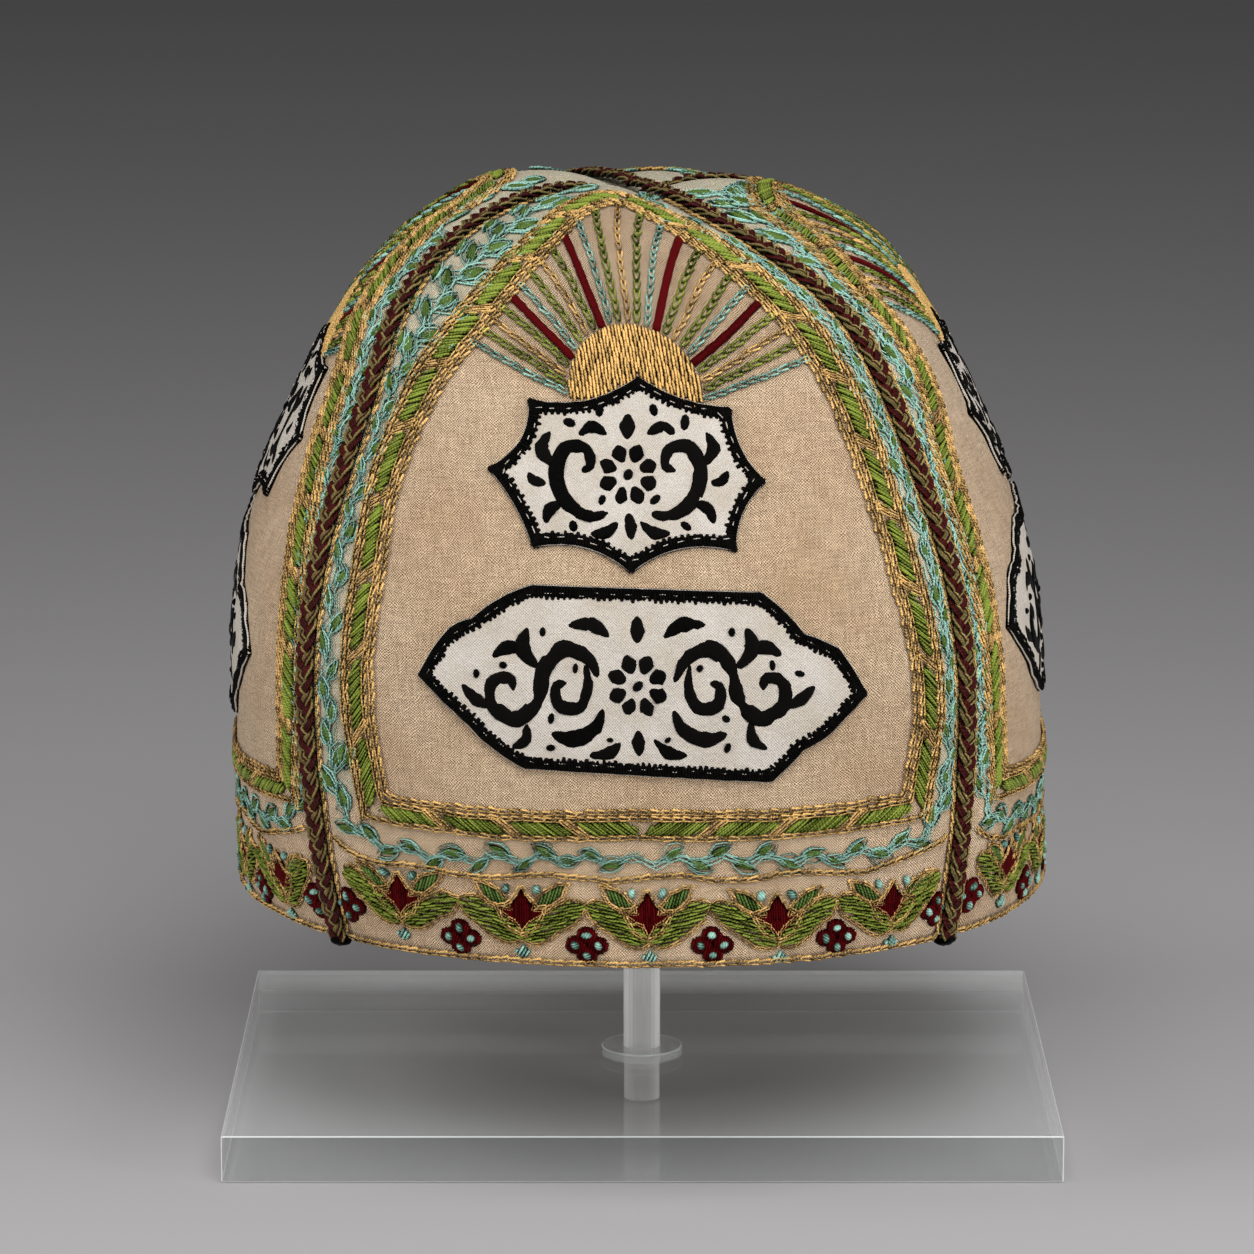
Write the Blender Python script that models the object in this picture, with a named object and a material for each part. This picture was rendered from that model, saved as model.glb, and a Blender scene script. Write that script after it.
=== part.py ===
"""Embroidered dervish cap on a clear display stand, in metres with +Z up.

The cap is four stiff linen panels, sewn edge to edge from the hem to the crown. Two plaited braids cover
the four seams and cross at the crown, and two cut cotton patches are sewn on each panel. The stand is a
clear plate with a clear post, whose round head carries the crown from inside. The origin is on the plate's
underside, on the post's axis.
"""
import math
from collections import namedtuple

import bmesh
import bpy
import numpy as np
from mathutils import Vector
from mathutils.geometry import delaunay_2d_cdt

MM = 0.001
GAP = 0.3 * MM                    # between pieces that touch

# Stand
PLATE_WIDTH = 176.0 * MM
PLATE_DEPTH = 128.7 * MM
PLATE_THICKNESS = 10.0 * MM
PLATE_SHIFT = 3.5 * MM            # the plate's centre lies this far behind the post
PLATE_BEVEL = 0.8 * MM
POST_RADIUS = 4.0 * MM
FLARE_LENGTH = 4.0 * MM           # the post widens over this length, just under its head
COLLAR_RADIUS = 8.8 * MM
COLLAR_HEIGHT = 2.0 * MM
COLLAR_BEVEL = 0.4 * MM
ROUND_STEPS = 24
POINT_MERGE = 0.01 * MM
EDGE_ANGLE = 40                   # degrees, past which an edge is shaded sharp

# The post's head, from its underside to its top: radius and depth below the top, both in millimetres
HeadRing = namedtuple("HeadRing", "radius depth")
HEAD_RINGS = (
    HeadRing(radius=6.0, depth=6.0),
    HeadRing(radius=20.2, depth=4.2),
    HeadRing(radius=22.0, depth=3.0),
    HeadRing(radius=19.8, depth=1.3),
    HeadRing(radius=12.0, depth=0.25),
    HeadRing(radius=0.0, depth=0.0),
)

# Cap: one row for each level from the hem to the crown's middle. height is measured from the hem and radius
# is that of a panel's middle line, both in millimetres. corner is the share by which the seams stand out past
# that radius, turn is the level's turn about the axis in degrees, and puff is how far the panel's middle is
# lifted in millimetres.
Level = namedtuple("Level", "height radius corner turn puff")
LEVELS = (
    Level(height=0.0, radius=86.4, corner=0.025, turn=0.0, puff=0.0),
    Level(height=15.0, radius=86.0, corner=0.070, turn=0.2, puff=0.0),
    Level(height=38.0, radius=85.8, corner=0.104, turn=0.3, puff=0.0),
    Level(height=60.0, radius=84.8, corner=0.118, turn=0.3, puff=0.2),
    Level(height=80.0, radius=81.1, corner=0.115, turn=0.3, puff=0.3),
    Level(height=98.0, radius=74.3, corner=0.112, turn=0.6, puff=0.2),
    Level(height=114.0, radius=66.0, corner=0.125, turn=1.2, puff=0.3),
    Level(height=128.0, radius=56.8, corner=0.142, turn=3.5, puff=1.0),
    Level(height=138.0, radius=45.0, corner=0.130, turn=8.0, puff=3.0),
    Level(height=144.9, radius=30.5, corner=0.060, turn=15.0, puff=4.0),
    Level(height=147.0, radius=13.5, corner=0.000, turn=21.0, puff=2.4),
    Level(height=145.0, radius=0.0, corner=0.000, turn=28.0, puff=0.0),
)
HEM_HEIGHT = 53.3 * MM            # the hem hangs this high over the plate's underside
LEAN = -1.8 * MM                  # sideways lean of the crown, reached at LEAN_HEIGHT
LEAN_HEIGHT = 90.0 * MM
QUARTER = math.pi / 2
EIGHTH = math.pi / 4

WALL = 2.0 * MM
GROOVE_DEPTH = 1.5 * MM           # the panels dip towards each seam, where the braid lies
GROOVE_HALF = 6.0 * MM
GROOVE_SHARE = 0.4                # widest groove near the crown, as a share of half a panel
GROOVE_FADE = 12.0 * MM           # inside this radius the groove runs out
CROWN_HOLE = 2.2 * MM             # the panels stop this far short of the crown's middle, up the panel
PANEL_ROWS = 20
PANEL_COLUMNS = 8                 # between the grooves

# Braids
BRAID_HALF_WIDTH = 2.2 * MM
BRAID_HALF_HEIGHT = 1.5 * MM
BRAID_REST = 1.5 * MM             # a braid rests on the cloth this far to each side of its middle
PRESSED_HALF_HEIGHT = 0.7 * MM    # of the lower braid where the upper one crosses it
CROSSING_FLAT = 3.0 * MM          # the crossing has its full height this far, and is gone at its reach
CROSSING_REACH = 15.0 * MM
BRAID_SIDES = 8
BRAID_STEPS = 30                  # from a hem to the crown

# Patches: one row for each corner, clockwise, in millimetres on the panel. across is measured from the
# panel's middle line, up along it from the hem, and bow is how far the edge to the next corner bends outwards.
Corner = namedtuple("Corner", "across up bow")
STAR_CORNERS = (
    Corner(across=2.7, up=121.5, bow=-1.4),
    Corner(across=21.5, up=115.0, bow=-1.7),
    Corner(across=28.1, up=99.5, bow=-1.7),
    Corner(across=21.7, up=85.3, bow=-2.7),
    Corner(across=-0.4, up=80.9, bow=-2.6),
    Corner(across=-20.8, up=86.0, bow=-1.0),
    Corner(across=-29.4, up=102.1, bow=-2.6),
    Corner(across=-20.8, up=116.8, bow=-2.6),
)
LONG_CORNERS = (
    Corner(across=-44.5, up=59.8, bow=0.5),
    Corner(across=-37.9, up=69.8, bow=0.3),
    Corner(across=-33.5, up=71.7, bow=0.8),
    Corner(across=-21.3, up=78.6, bow=0.0),
    Corner(across=26.5, up=77.1, bow=0.5),
    Corner(across=35.0, up=68.7, bow=0.2),
    Corner(across=42.0, up=65.4, bow=0.2),
    Corner(across=47.6, up=55.9, bow=0.0),
    Corner(across=39.7, up=48.0, bow=0.2),
    Corner(across=34.4, up=45.0, bow=0.2),
    Corner(across=28.1, up=38.7, bow=0.0),
    Corner(across=-23.3, up=41.6, bow=0.8),
    Corner(across=-34.6, up=50.2, bow=0.2),
)
PATCH_THICKNESS = 1.0 * MM
PATCH_GAP = 0.4 * MM
PATCH_STEP = 8.0                  # spacing of the mesh's points on a patch, millimetres
PATCH_MARGIN = 3.0                # least distance of an inner point from the outline, millimetres
PATCH_MERGE = 0.001               # points of a patch closer than this are one, millimetres

# One row for each panel: where it faces, counted in quarter turns from the front, and how far its two
# patches sit from the front panel's places, in millimetres.
Panel = namedtuple("Panel", "name quarters star_across star_up long_across long_up")
PANELS = (
    Panel(name="front", quarters=0, star_across=0.0, star_up=0.0, long_across=0.0, long_up=0.0),
    Panel(name="right", quarters=1, star_across=0.0, star_up=4.0, long_across=-10.0, long_up=4.0),
    Panel(name="back", quarters=2, star_across=0.0, star_up=0.0, long_across=1.0, long_up=1.0),
    Panel(name="left", quarters=3, star_across=14.0, star_up=3.0, long_across=1.0, long_up=1.0),
)

# Finish of each piece: red, green and blue, then roughness and, where light comes through, alpha
LINEN = (0.56, 0.44, 0.29)
COTTON = (0.80, 0.77, 0.72)
BRAID = (0.10, 0.05, 0.03)
CLEAR = (0.92, 0.95, 0.95)
CLOTH_ROUGHNESS = 0.9
BRAID_ROUGHNESS = 0.85
CLEAR_ROUGHNESS = 0.05
CLEAR_ALPHA = 0.35


def clear_scene():
    for old in list(bpy.data.objects):
        bpy.data.objects.remove(old)


def make_material(name, colour, roughness, alpha=1.0):
    material = bpy.data.materials.new(name)
    material.use_nodes = True
    shader = material.node_tree.nodes["Principled BSDF"]
    shader.inputs["Base Color"].default_value = (*colour, 1.0)
    shader.inputs["Roughness"].default_value = roughness
    shader.inputs["Metallic"].default_value = 0.0
    shader.inputs["Alpha"].default_value = alpha
    return material


def add_object(name, shape, material, parent):
    """Turns a bmesh into a named, smooth shaded object under the parent."""
    bmesh.ops.recalc_face_normals(shape, faces=shape.faces)
    mesh = bpy.data.meshes.new(name)
    shape.to_mesh(mesh)
    shape.free()
    mesh.materials.append(material)
    mesh.shade_smooth()
    mesh.set_sharp_from_angle(angle=math.radians(EDGE_ANGLE))
    piece = bpy.data.objects.new(name, mesh)
    bpy.context.scene.collection.objects.link(piece)
    piece.parent = parent
    return piece


def thicken(piece, thickness, side):
    wall = piece.modifiers.new("Wall", "SOLIDIFY")
    wall.thickness = thickness
    wall.offset = side
    wall.use_even_offset = True


def smooth_step(value):
    value = min(max(value, 0.0), 1.0)
    return value * value * (3.0 - 2.0 * value)


# The cap's form. "up" runs from the hem to the crown along a panel's middle line, and "azimuth" goes round
# from the front, rising towards +X.
COLUMNS = {name: np.array([getattr(level, name) for level in LEVELS]) for name in Level._fields}
STEPS_UP = np.hypot(np.diff(COLUMNS["radius"]), np.diff(COLUMNS["height"]))
STATIONS = np.concatenate(([0.0], np.cumsum(STEPS_UP)))
CROWN_UP = float(STATIONS[-1]) * MM
NORMAL_STEP = 0.5 * MM            # up, between the points that a normal is worked out from
NORMAL_TURN = 0.01                # the same in azimuth


def level_value(name, up):
    """Reads one column of LEVELS at a distance up, along a smooth curve through its rows."""
    values = COLUMNS[name]
    slopes = np.gradient(values, STATIONS)
    place = min(max(up / MM, 0.0), STATIONS[-1])
    row = min(int(np.searchsorted(STATIONS, place, side="right")) - 1, len(STATIONS) - 2)
    span = STATIONS[row + 1] - STATIONS[row]
    part = (place - STATIONS[row]) / span
    rest = 1.0 - part
    start = (1.0 + 2.0 * part) * rest * rest * values[row] + part * rest * rest * span * slopes[row]
    end = (3.0 - 2.0 * part) * part * part * values[row + 1] - part * part * rest * span * slopes[row + 1]
    return start + end


def plain_point(up, azimuth):
    """A point of the cap's outer surface, without the grooves."""
    seam_share = (1.0 - math.cos(4.0 * azimuth)) / 2.0
    height = level_value("height", up) * MM
    radius = level_value("radius", up) * MM * (1.0 + level_value("corner", up) * seam_share)
    angle = azimuth - math.radians(level_value("turn", up))
    lean = LEAN * min(height / LEAN_HEIGHT, 1.0)
    puff = level_value("puff", up) * MM * (1.0 - seam_share)
    sideways = radius * math.sin(angle) + lean
    return Vector((sideways, -radius * math.cos(angle), HEM_HEIGHT + height + puff))


def outward(up, azimuth):
    """The unit normal of the surface without the grooves."""
    low = max(up - NORMAL_STEP, 0.0)
    high = min(up + NORMAL_STEP, CROWN_UP - NORMAL_STEP)
    if high <= low:
        return Vector((0.0, 0.0, 1.0))
    along = plain_point(high, azimuth) - plain_point(low, azimuth)
    around = plain_point(up, azimuth + NORMAL_TURN) - plain_point(up, azimuth - NORMAL_TURN)
    normal = around.cross(along)
    return normal.normalized()


def half_width(up):
    """Length round the cap from a panel's middle line to its seam."""
    return level_value("radius", up) * MM * EIGHTH * (1.0 + level_value("corner", up) / 2.0)


def groove_width(up):
    return min(GROOVE_HALF, GROOVE_SHARE * half_width(up))


def groove_depth(up, from_seam):
    width = groove_width(up)
    if from_seam >= width:
        return 0.0
    fade = smooth_step(level_value("radius", up) * MM / GROOVE_FADE)
    return GROOVE_DEPTH * fade * math.cos(QUARTER * from_seam / width) ** 2


def cloth_point(up, azimuth):
    """A point of the cap's outer surface, with the grooves at the seams."""
    nearest_seam = EIGHTH + QUARTER * round((azimuth - EIGHTH) / QUARTER)
    from_seam = abs(azimuth - nearest_seam) / EIGHTH * half_width(up)
    return plain_point(up, azimuth) - outward(up, azimuth) * groove_depth(up, from_seam)


def panel_azimuths(up):
    """The azimuths of one panel's mesh columns, about its middle line."""
    width = half_width(up)
    groove = groove_width(up)
    edge = [GAP / 2.0, groove / 3.0, groove * 2.0 / 3.0]
    between = 2.0 * (width - groove) / PANEL_COLUMNS
    middle = [groove + between * step for step in range(PANEL_COLUMNS + 1)]
    far_edge = [2.0 * width - place for place in reversed(edge)]
    return [(place - width) / width * EIGHTH for place in edge + middle + far_edge]


def add_panel(panel, material, parent):
    shape = bmesh.new()
    top = CROWN_UP - CROWN_HOLE
    rows = []
    for row in range(PANEL_ROWS + 1):
        up = top * row / PANEL_ROWS
        azimuths = [panel.quarters * QUARTER + azimuth for azimuth in panel_azimuths(up)]
        rows.append([shape.verts.new(cloth_point(up, azimuth)) for azimuth in azimuths])
    for low, high in zip(rows, rows[1:]):
        for left in range(len(low) - 1):
            shape.faces.new((low[left], low[left + 1], high[left + 1], high[left]))
    thicken(add_object("panel_" + panel.name, shape, material, parent), WALL, -1.0)


def patch_outline(corners, across, up):
    """The outline's points in panel millimetres, with each edge bowed as a shallow arc."""
    points = []
    for corner, following in zip(corners, corners[1:] + corners[:1]):
        start = Vector((corner.across + across, corner.up + up))
        edge = Vector((following.across + across, following.up + up)) - start
        out = Vector((-edge.y, edge.x)).normalized()
        steps = max(math.ceil(edge.length / PATCH_STEP), 1)
        for step in range(steps):
            share = step / steps
            points.append(start + edge * share + out * corner.bow * 4.0 * share * (1.0 - share))
    return points


def inside_by_margin(point, outline):
    """Tells whether a point lies inside the outline and PATCH_MARGIN or more from its edges."""
    inside = False
    for start, end in zip(outline, outline[1:] + outline[:1]):
        edge = end - start
        share = min(max((point - start).dot(edge) / edge.length_squared, 0.0), 1.0)
        if (start + edge * share - point).length < PATCH_MARGIN:
            return False
        crosses = (start.y > point.y) != (end.y > point.y)
        if crosses and point.x < start.x + (point.y - start.y) / edge.y * edge.x:
            inside = not inside
    return inside


def add_patch(name, corners, across, up, panel, material, parent):
    outline = patch_outline(corners, across, up)
    lowest = Vector((min(point.x for point in outline), min(point.y for point in outline)))
    highest = Vector((max(point.x for point in outline), max(point.y for point in outline)))
    columns = range(1, int((highest.x - lowest.x) / PATCH_STEP) + 1)
    rows = range(1, int((highest.y - lowest.y) / PATCH_STEP) + 1)
    grid = [lowest + Vector((column, row)) * PATCH_STEP for column in columns for row in rows]
    inner = [point for point in grid if inside_by_margin(point, outline)]
    count = len(outline)
    loop = [(index, (index + 1) % count) for index in range(count)]
    points, _, faces, _, _, _ = delaunay_2d_cdt(outline + inner, loop, [], 1, PATCH_MERGE)
    shape = bmesh.new()
    corners_3d = []
    for point in points:
        place = point.y * MM
        azimuth = panel.quarters * QUARTER + point.x * MM / half_width(place) * EIGHTH
        lifted = cloth_point(place, azimuth) + outward(place, azimuth) * PATCH_GAP
        corners_3d.append(shape.verts.new(lifted))
    for face in faces:
        shape.faces.new([corners_3d[index] for index in face])
    thicken(add_object(name, shape, material, parent), PATCH_THICKNESS, 1.0)


def cloth_under_braid(up, azimuth, normal):
    """Height of the highest cloth below a braid, measured from the surface without the grooves."""
    seam = plain_point(up, azimuth)
    spread = min(BRAID_REST / max(half_width(up), BRAID_REST), 1.0) * EIGHTH
    return max((cloth_point(up, azimuth + side) - seam).dot(normal) for side in (-spread, 0.0, spread))


def braid_section(up, azimuth, over):
    """Centre, normal and half height of a braid on the seam at this azimuth."""
    to_crown = CROWN_UP - up
    near = smooth_step((CROSSING_REACH - to_crown) / (CROSSING_REACH - CROSSING_FLAT))
    normal = outward(up, azimuth)
    rest = cloth_under_braid(up, azimuth, normal) + GAP
    if over:
        half_height = BRAID_HALF_HEIGHT
        rest += (2.0 * PRESSED_HALF_HEIGHT + GAP) * near
    else:
        half_height = BRAID_HALF_HEIGHT + (PRESSED_HALF_HEIGHT - BRAID_HALF_HEIGHT) * near
    return plain_point(up, azimuth) + normal * (rest + half_height), normal, half_height


def add_braid(name, first_quarter, over, material, parent):
    """A braid from the hem up one seam, over the crown and down the opposite seam to the hem."""
    first = EIGHTH + first_quarter * QUARTER
    climb = [CROWN_UP * step / BRAID_STEPS for step in range(BRAID_STEPS + 1)]
    stations = [(up, first) for up in climb] + [(up, first + math.pi) for up in reversed(climb[:-1])]
    sections = [braid_section(up, azimuth, over) for up, azimuth in stations]
    centres = [section[0] for section in sections]
    shape = bmesh.new()
    rings = []
    for index, (centre, normal, half_height) in enumerate(sections):
        ahead = centres[min(index + 1, len(centres) - 1)] - centres[max(index - 1, 0)]
        side = ahead.cross(normal).normalized()
        rise = side.cross(ahead).normalized()
        ring = []
        for step in range(BRAID_SIDES):
            angle = 2.0 * math.pi * (step + 0.5) / BRAID_SIDES
            across = side * math.cos(angle) * BRAID_HALF_WIDTH
            ring.append(shape.verts.new(centre + across + rise * math.sin(angle) * half_height))
        rings.append(ring)
    for near, far in zip(rings, rings[1:]):
        for step in range(BRAID_SIDES):
            following = (step + 1) % BRAID_SIDES
            shape.faces.new((near[step], near[following], far[following], far[step]))
    shape.faces.new(rings[0])
    shape.faces.new(rings[-1])
    add_object(name, shape, material, parent)


def add_plate(material, parent):
    shape = bmesh.new()
    bmesh.ops.create_cube(shape, size=1.0)
    bmesh.ops.scale(shape, vec=(PLATE_WIDTH, PLATE_DEPTH, PLATE_THICKNESS), verts=shape.verts)
    bmesh.ops.translate(shape, vec=(0.0, PLATE_SHIFT, PLATE_THICKNESS / 2.0), verts=shape.verts)
    bmesh.ops.bevel(shape, geom=shape.edges, offset=PLATE_BEVEL, segments=2, profile=0.5, affect="EDGES")
    add_object("stand_plate", shape, material, parent)


def add_turned(name, profile, closed, material, parent):
    """Spins a profile of (radius, height) pairs about the axis, as a ring when it is closed."""
    shape = bmesh.new()
    points = [shape.verts.new((radius, 0.0, height)) for radius, height in profile]
    pairs = list(zip(points, points[1:]))
    if closed:
        pairs.append((points[-1], points[0]))
    edges = [shape.edges.new(pair) for pair in pairs]
    bmesh.ops.spin(shape, geom=points + edges, cent=(0.0, 0.0, 0.0), axis=(0.0, 0.0, 1.0),
                   angle=2.0 * math.pi, steps=ROUND_STEPS, use_merge=True)
    bmesh.ops.remove_doubles(shape, verts=shape.verts, dist=POINT_MERGE)
    add_object(name, shape, material, parent)


def add_post(material, parent):
    """The post and its round head, which ends a gap below the crown's inner side."""
    foot = PLATE_THICKNESS + GAP
    crown_inside = plain_point(CROWN_UP, 0.0).z - WALL
    top = crown_inside - GAP
    flare = top - HEAD_RINGS[0].depth * MM - FLARE_LENGTH
    shaft = [(0.0, foot), (POST_RADIUS, foot), (POST_RADIUS, flare)]
    head = [(ring.radius * MM, top - ring.depth * MM) for ring in HEAD_RINGS]
    add_turned("stand_post", shaft + head, False, material, parent)


def add_collar(material, parent):
    inner = POST_RADIUS + GAP
    low = PLATE_THICKNESS + GAP
    high = low + COLLAR_HEIGHT
    profile = (
        (inner, low),
        (COLLAR_RADIUS, low),
        (COLLAR_RADIUS, high - COLLAR_BEVEL),
        (COLLAR_RADIUS - COLLAR_BEVEL, high),
        (inner, high),
    )
    add_turned("stand_collar", profile, True, material, parent)


def build():
    clear_scene()
    cap = bpy.data.objects.new("cap", None)
    stand = bpy.data.objects.new("stand", None)
    for group in (cap, stand):
        bpy.context.scene.collection.objects.link(group)
    linen = make_material("linen", LINEN, CLOTH_ROUGHNESS)
    cotton = make_material("cotton", COTTON, CLOTH_ROUGHNESS)
    plait = make_material("plait", BRAID, BRAID_ROUGHNESS)
    clear = make_material("clear_acrylic", CLEAR, CLEAR_ROUGHNESS, CLEAR_ALPHA)
    add_plate(clear, stand)
    add_post(clear, stand)
    add_collar(clear, stand)
    for panel in PANELS:
        add_panel(panel, linen, cap)
    add_braid("seam_braid_under", -1, False, plait, cap)
    add_braid("seam_braid_over", 0, True, plait, cap)
    for panel in PANELS:
        star = "star_patch_" + panel.name
        add_patch(star, STAR_CORNERS, panel.star_across, panel.star_up, panel, cotton, cap)
        long = "long_patch_" + panel.name
        add_patch(long, LONG_CORNERS, panel.long_across, panel.long_up, panel, cotton, cap)


build()
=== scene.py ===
"""Looks of the embroidered dervish cap on its clear stand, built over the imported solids.

The needlework is drawn flat, in millimetres, as it lies in a hoop: across a panel from its middle line, up
it from the hem, and the height above the linen. wrap() then carries it onto the cap.
"""
import math
from collections import namedtuple

import bpy
import numpy as np
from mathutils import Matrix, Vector
from mathutils.geometry import delaunay_2d_cdt


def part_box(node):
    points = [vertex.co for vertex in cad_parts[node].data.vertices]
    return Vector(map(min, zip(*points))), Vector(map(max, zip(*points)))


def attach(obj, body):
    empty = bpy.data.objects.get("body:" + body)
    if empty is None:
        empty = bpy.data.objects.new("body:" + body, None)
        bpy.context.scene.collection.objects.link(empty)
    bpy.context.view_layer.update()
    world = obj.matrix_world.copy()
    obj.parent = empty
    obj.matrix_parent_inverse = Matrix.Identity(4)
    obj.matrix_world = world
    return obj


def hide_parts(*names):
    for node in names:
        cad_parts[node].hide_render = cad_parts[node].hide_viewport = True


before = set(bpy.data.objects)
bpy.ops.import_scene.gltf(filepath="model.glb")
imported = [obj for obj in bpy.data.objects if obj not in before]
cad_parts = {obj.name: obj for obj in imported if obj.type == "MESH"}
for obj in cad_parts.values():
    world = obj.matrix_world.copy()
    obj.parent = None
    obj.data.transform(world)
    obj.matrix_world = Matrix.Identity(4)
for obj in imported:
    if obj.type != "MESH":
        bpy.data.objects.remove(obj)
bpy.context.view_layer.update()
MM = 0.001

# The view. A long lens looks down a little at the front of the cap, and the floor is pale studio paper.
# Two wide lights hang high at the sides, the left one stronger. One hangs close over the front and one
# farther off, and two small ones stand low.
CAMERA_PLACE = (-0.003232, -1.244719, 0.376868)
CAMERA_PITCH = 12.3
LENS = 170.0
SENSOR = 36.0
FARTHEST = 30.0
STUDIO_GLOW = 0.095
FLOOR_SIZE = 16.0
FLOOR_PLACE = (0.0, 0.0, -0.0003)
Lamp = namedtuple("Lamp", "place aim size power")
LAMPS = (
    Lamp(place=(-1.3, -0.5, 1.4), aim=(0.0, 0.0, 0.12), size=0.8, power=8.8),
    Lamp(place=(1.3, -0.5, 1.4), aim=(0.0, 0.0, 0.12), size=0.8, power=3.6),
    Lamp(place=(0.55, -0.4, 0.15), aim=(0.0, 0.0, 0.08), size=0.2, power=1.9),
    Lamp(place=(-0.55, -0.4, 0.15), aim=(0.0, 0.0, 0.08), size=0.2, power=1.5),
    Lamp(place=(0.1, -0.5, 0.75), aim=(0.0, 0.0, 0.12), size=0.6, power=5.2),
    Lamp(place=(0.25, -1.1, 1.2), aim=(0.0, 0.0, 0.15), size=0.5, power=3.6),
)


def linear(code):
    """An sRGB hex colour as linear red, green, blue and alpha."""
    channels = [int(code[start:start + 2], 16) / 255.0 for start in (1, 3, 5)]
    return [c / 12.92 if c <= 0.04045 else ((c + 0.055) / 1.055) ** 2.4 for c in channels] + [1.0]


def set_inputs(tree, node, inputs):
    """Sets a node's inputs. One given a socket is linked to it, and one given a node to its output."""
    for name, value in inputs.items():
        if isinstance(value, bpy.types.Node):
            value = next(output for output in value.outputs if output.enabled)
        if isinstance(value, bpy.types.NodeSocket):
            tree.links.new(value, node.inputs[name])
        else:
            node.inputs[name].default_value = value


def add_node(tree, kind, inputs=(), **settings):
    """Adds a node with its settings and links."""
    node = tree.nodes.new("ShaderNode" + kind)
    for name, value in settings.items():
        setattr(node, name, value)
    set_inputs(tree, node, dict(inputs))
    return node


def start_material(name, colour, **sockets):
    """A new material with one shader, whose constants are set on its own sockets."""
    material = bpy.data.materials.new(name)
    material.use_nodes = True
    tree = material.node_tree
    shader = tree.nodes["Principled BSDF"]
    set_inputs(tree, shader, {"Base Color": linear(colour)})
    set_inputs(tree, shader, {socket.replace("_", " "): value for socket, value in sockets.items()})
    return material, tree, shader


def add_alone(add, name, **settings):
    """Adds a primitive with nothing else selected."""
    bpy.ops.object.select_all(action="DESELECT")
    add(**settings)
    piece = bpy.context.object
    piece.name = name
    return piece


bpy.ops.object.camera_add(location=CAMERA_PLACE, rotation=(math.radians(90.0 - CAMERA_PITCH), 0.0, 0.0))
camera = bpy.context.object
camera.data.lens = LENS
camera.data.sensor_width = SENSOR
camera.data.clip_end = FARTHEST
bpy.context.scene.camera = camera
for lamp in LAMPS:
    aim = Vector(lamp.aim) - Vector(lamp.place)
    turn = aim.to_track_quat("-Z", "Y").to_euler()
    bpy.ops.object.light_add(type="AREA", location=lamp.place, rotation=turn)
    bpy.context.object.data.size = lamp.size
    bpy.context.object.data.energy = lamp.power
studio = bpy.data.worlds.new("studio")
studio.use_nodes = True
glow = studio.node_tree.nodes["Background"]
set_inputs(studio.node_tree, glow, {"Color": linear("#DEDCDA"), "Strength": STUDIO_GLOW})
bpy.context.scene.world = studio
bpy.context.scene.view_settings.view_transform = "Standard"

# Matt paper with a faint tooth, which spreads the light softly.
paper, tree, shader = start_material("matt_studio_paper", "#ABA9AA", Roughness=0.75)
grain = add_node(tree, "TexNoise", {"Scale": 900.0, "Detail": 3.0})
bump = add_node(tree, "Bump", {"Strength": 0.05, "Distance": 0.0005, "Height": grain})
set_inputs(tree, shader, {"Normal": bump})
floor = add_alone(bpy.ops.mesh.primitive_plane_add, "floor", size=FLOOR_SIZE, location=FLOOR_PLACE)
floor.data.materials.append(paper)


# The stand's plate, post and collar. They are cast acrylic, bonded with solvent, clear with a grey cast.
# The plate is sawn from 10 mm sheet. Its edges have a fine ground bevel that gathers the light.
PLATE_BEVEL = 0.25
SAWN_FROM = 4.0
SAWN_TO = 7.5
ROD_RADIUS = 3.9
ROD_CLEAR = 0.4
RING_BEVEL = 0.2


def finish_piece(piece, slot, *materials):
    """Gives a piece its materials and its body. The slot it is given is not used."""
    piece.data.materials.clear()
    for material in materials:
        piece.data.materials.append(material)
    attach(piece, "root")


# Cast sheet is glossy and clear. Handling leaves its gloss a little uneven.
acrylic, tree, shader = start_material("clear_cast_acrylic", "#F4F6F6", IOR=1.49, Transmission_Weight=0.45,
                                       Alpha=0.42)
place = add_node(tree, "TexCoord").outputs["Object"]
wear = add_node(tree, "TexNoise", {"Vector": place, "Scale": 55.0, "Detail": 5.0})
gloss = add_node(tree, "MapRange", {"Value": wear, "From Min": 0.45, "From Max": 0.75, "To Min": 0.05,
                                    "To Max": 0.12})
set_inputs(tree, shader, {"Roughness": gloss})

# A rod is made opaque and pale along its sides, a painted highlight for the light a clear rod gathers at its
# rims.
rod, tree, shader = start_material("clear_acrylic_rod", "#FAFAF8", IOR=1.49, Roughness=0.2,
                                   Transmission_Weight=0.2)
facing = add_node(tree, "LayerWeight", {"Blend": 0.3}).outputs["Facing"]
cover = add_node(tree, "MapRange", {"Value": facing, "From Min": 0.06, "From Max": 0.4, "To Min": 0.35,
                                    "To Max": 1.0})
set_inputs(tree, shader, {"Alpha": cover})

# A ground bevel is matt and catches a bright line of light.
ground_edge, tree, shader = start_material("ground_acrylic_bevel", "#E9EDED", IOR=1.49, Roughness=0.3,
                                           Alpha=0.6)
place = add_node(tree, "TexCoord").outputs["Object"]
grit = add_node(tree, "TexNoise", {"Vector": place, "Scale": 700.0, "Detail": 3.0})
bump = add_node(tree, "Bump", {"Strength": 0.2, "Distance": 0.0001, "Height": grit})
set_inputs(tree, shader, {"Normal": bump})

# A sawn edge is frosted. It fades out towards the floor.
sawn, tree, shader = start_material("sawn_acrylic_edge", "#F2F3F3", IOR=1.49, Roughness=0.35)
place = add_node(tree, "TexCoord").outputs["Object"]
height = add_node(tree, "SeparateXYZ", {"Vector": place}).outputs["Z"]
cover = add_node(tree, "MapRange", {"Value": height, "From Min": SAWN_FROM * MM, "From Max": SAWN_TO * MM,
                                    "To Min": 0.05, "To Max": 0.7})
set_inputs(tree, shader, {"Alpha": cover})

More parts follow.
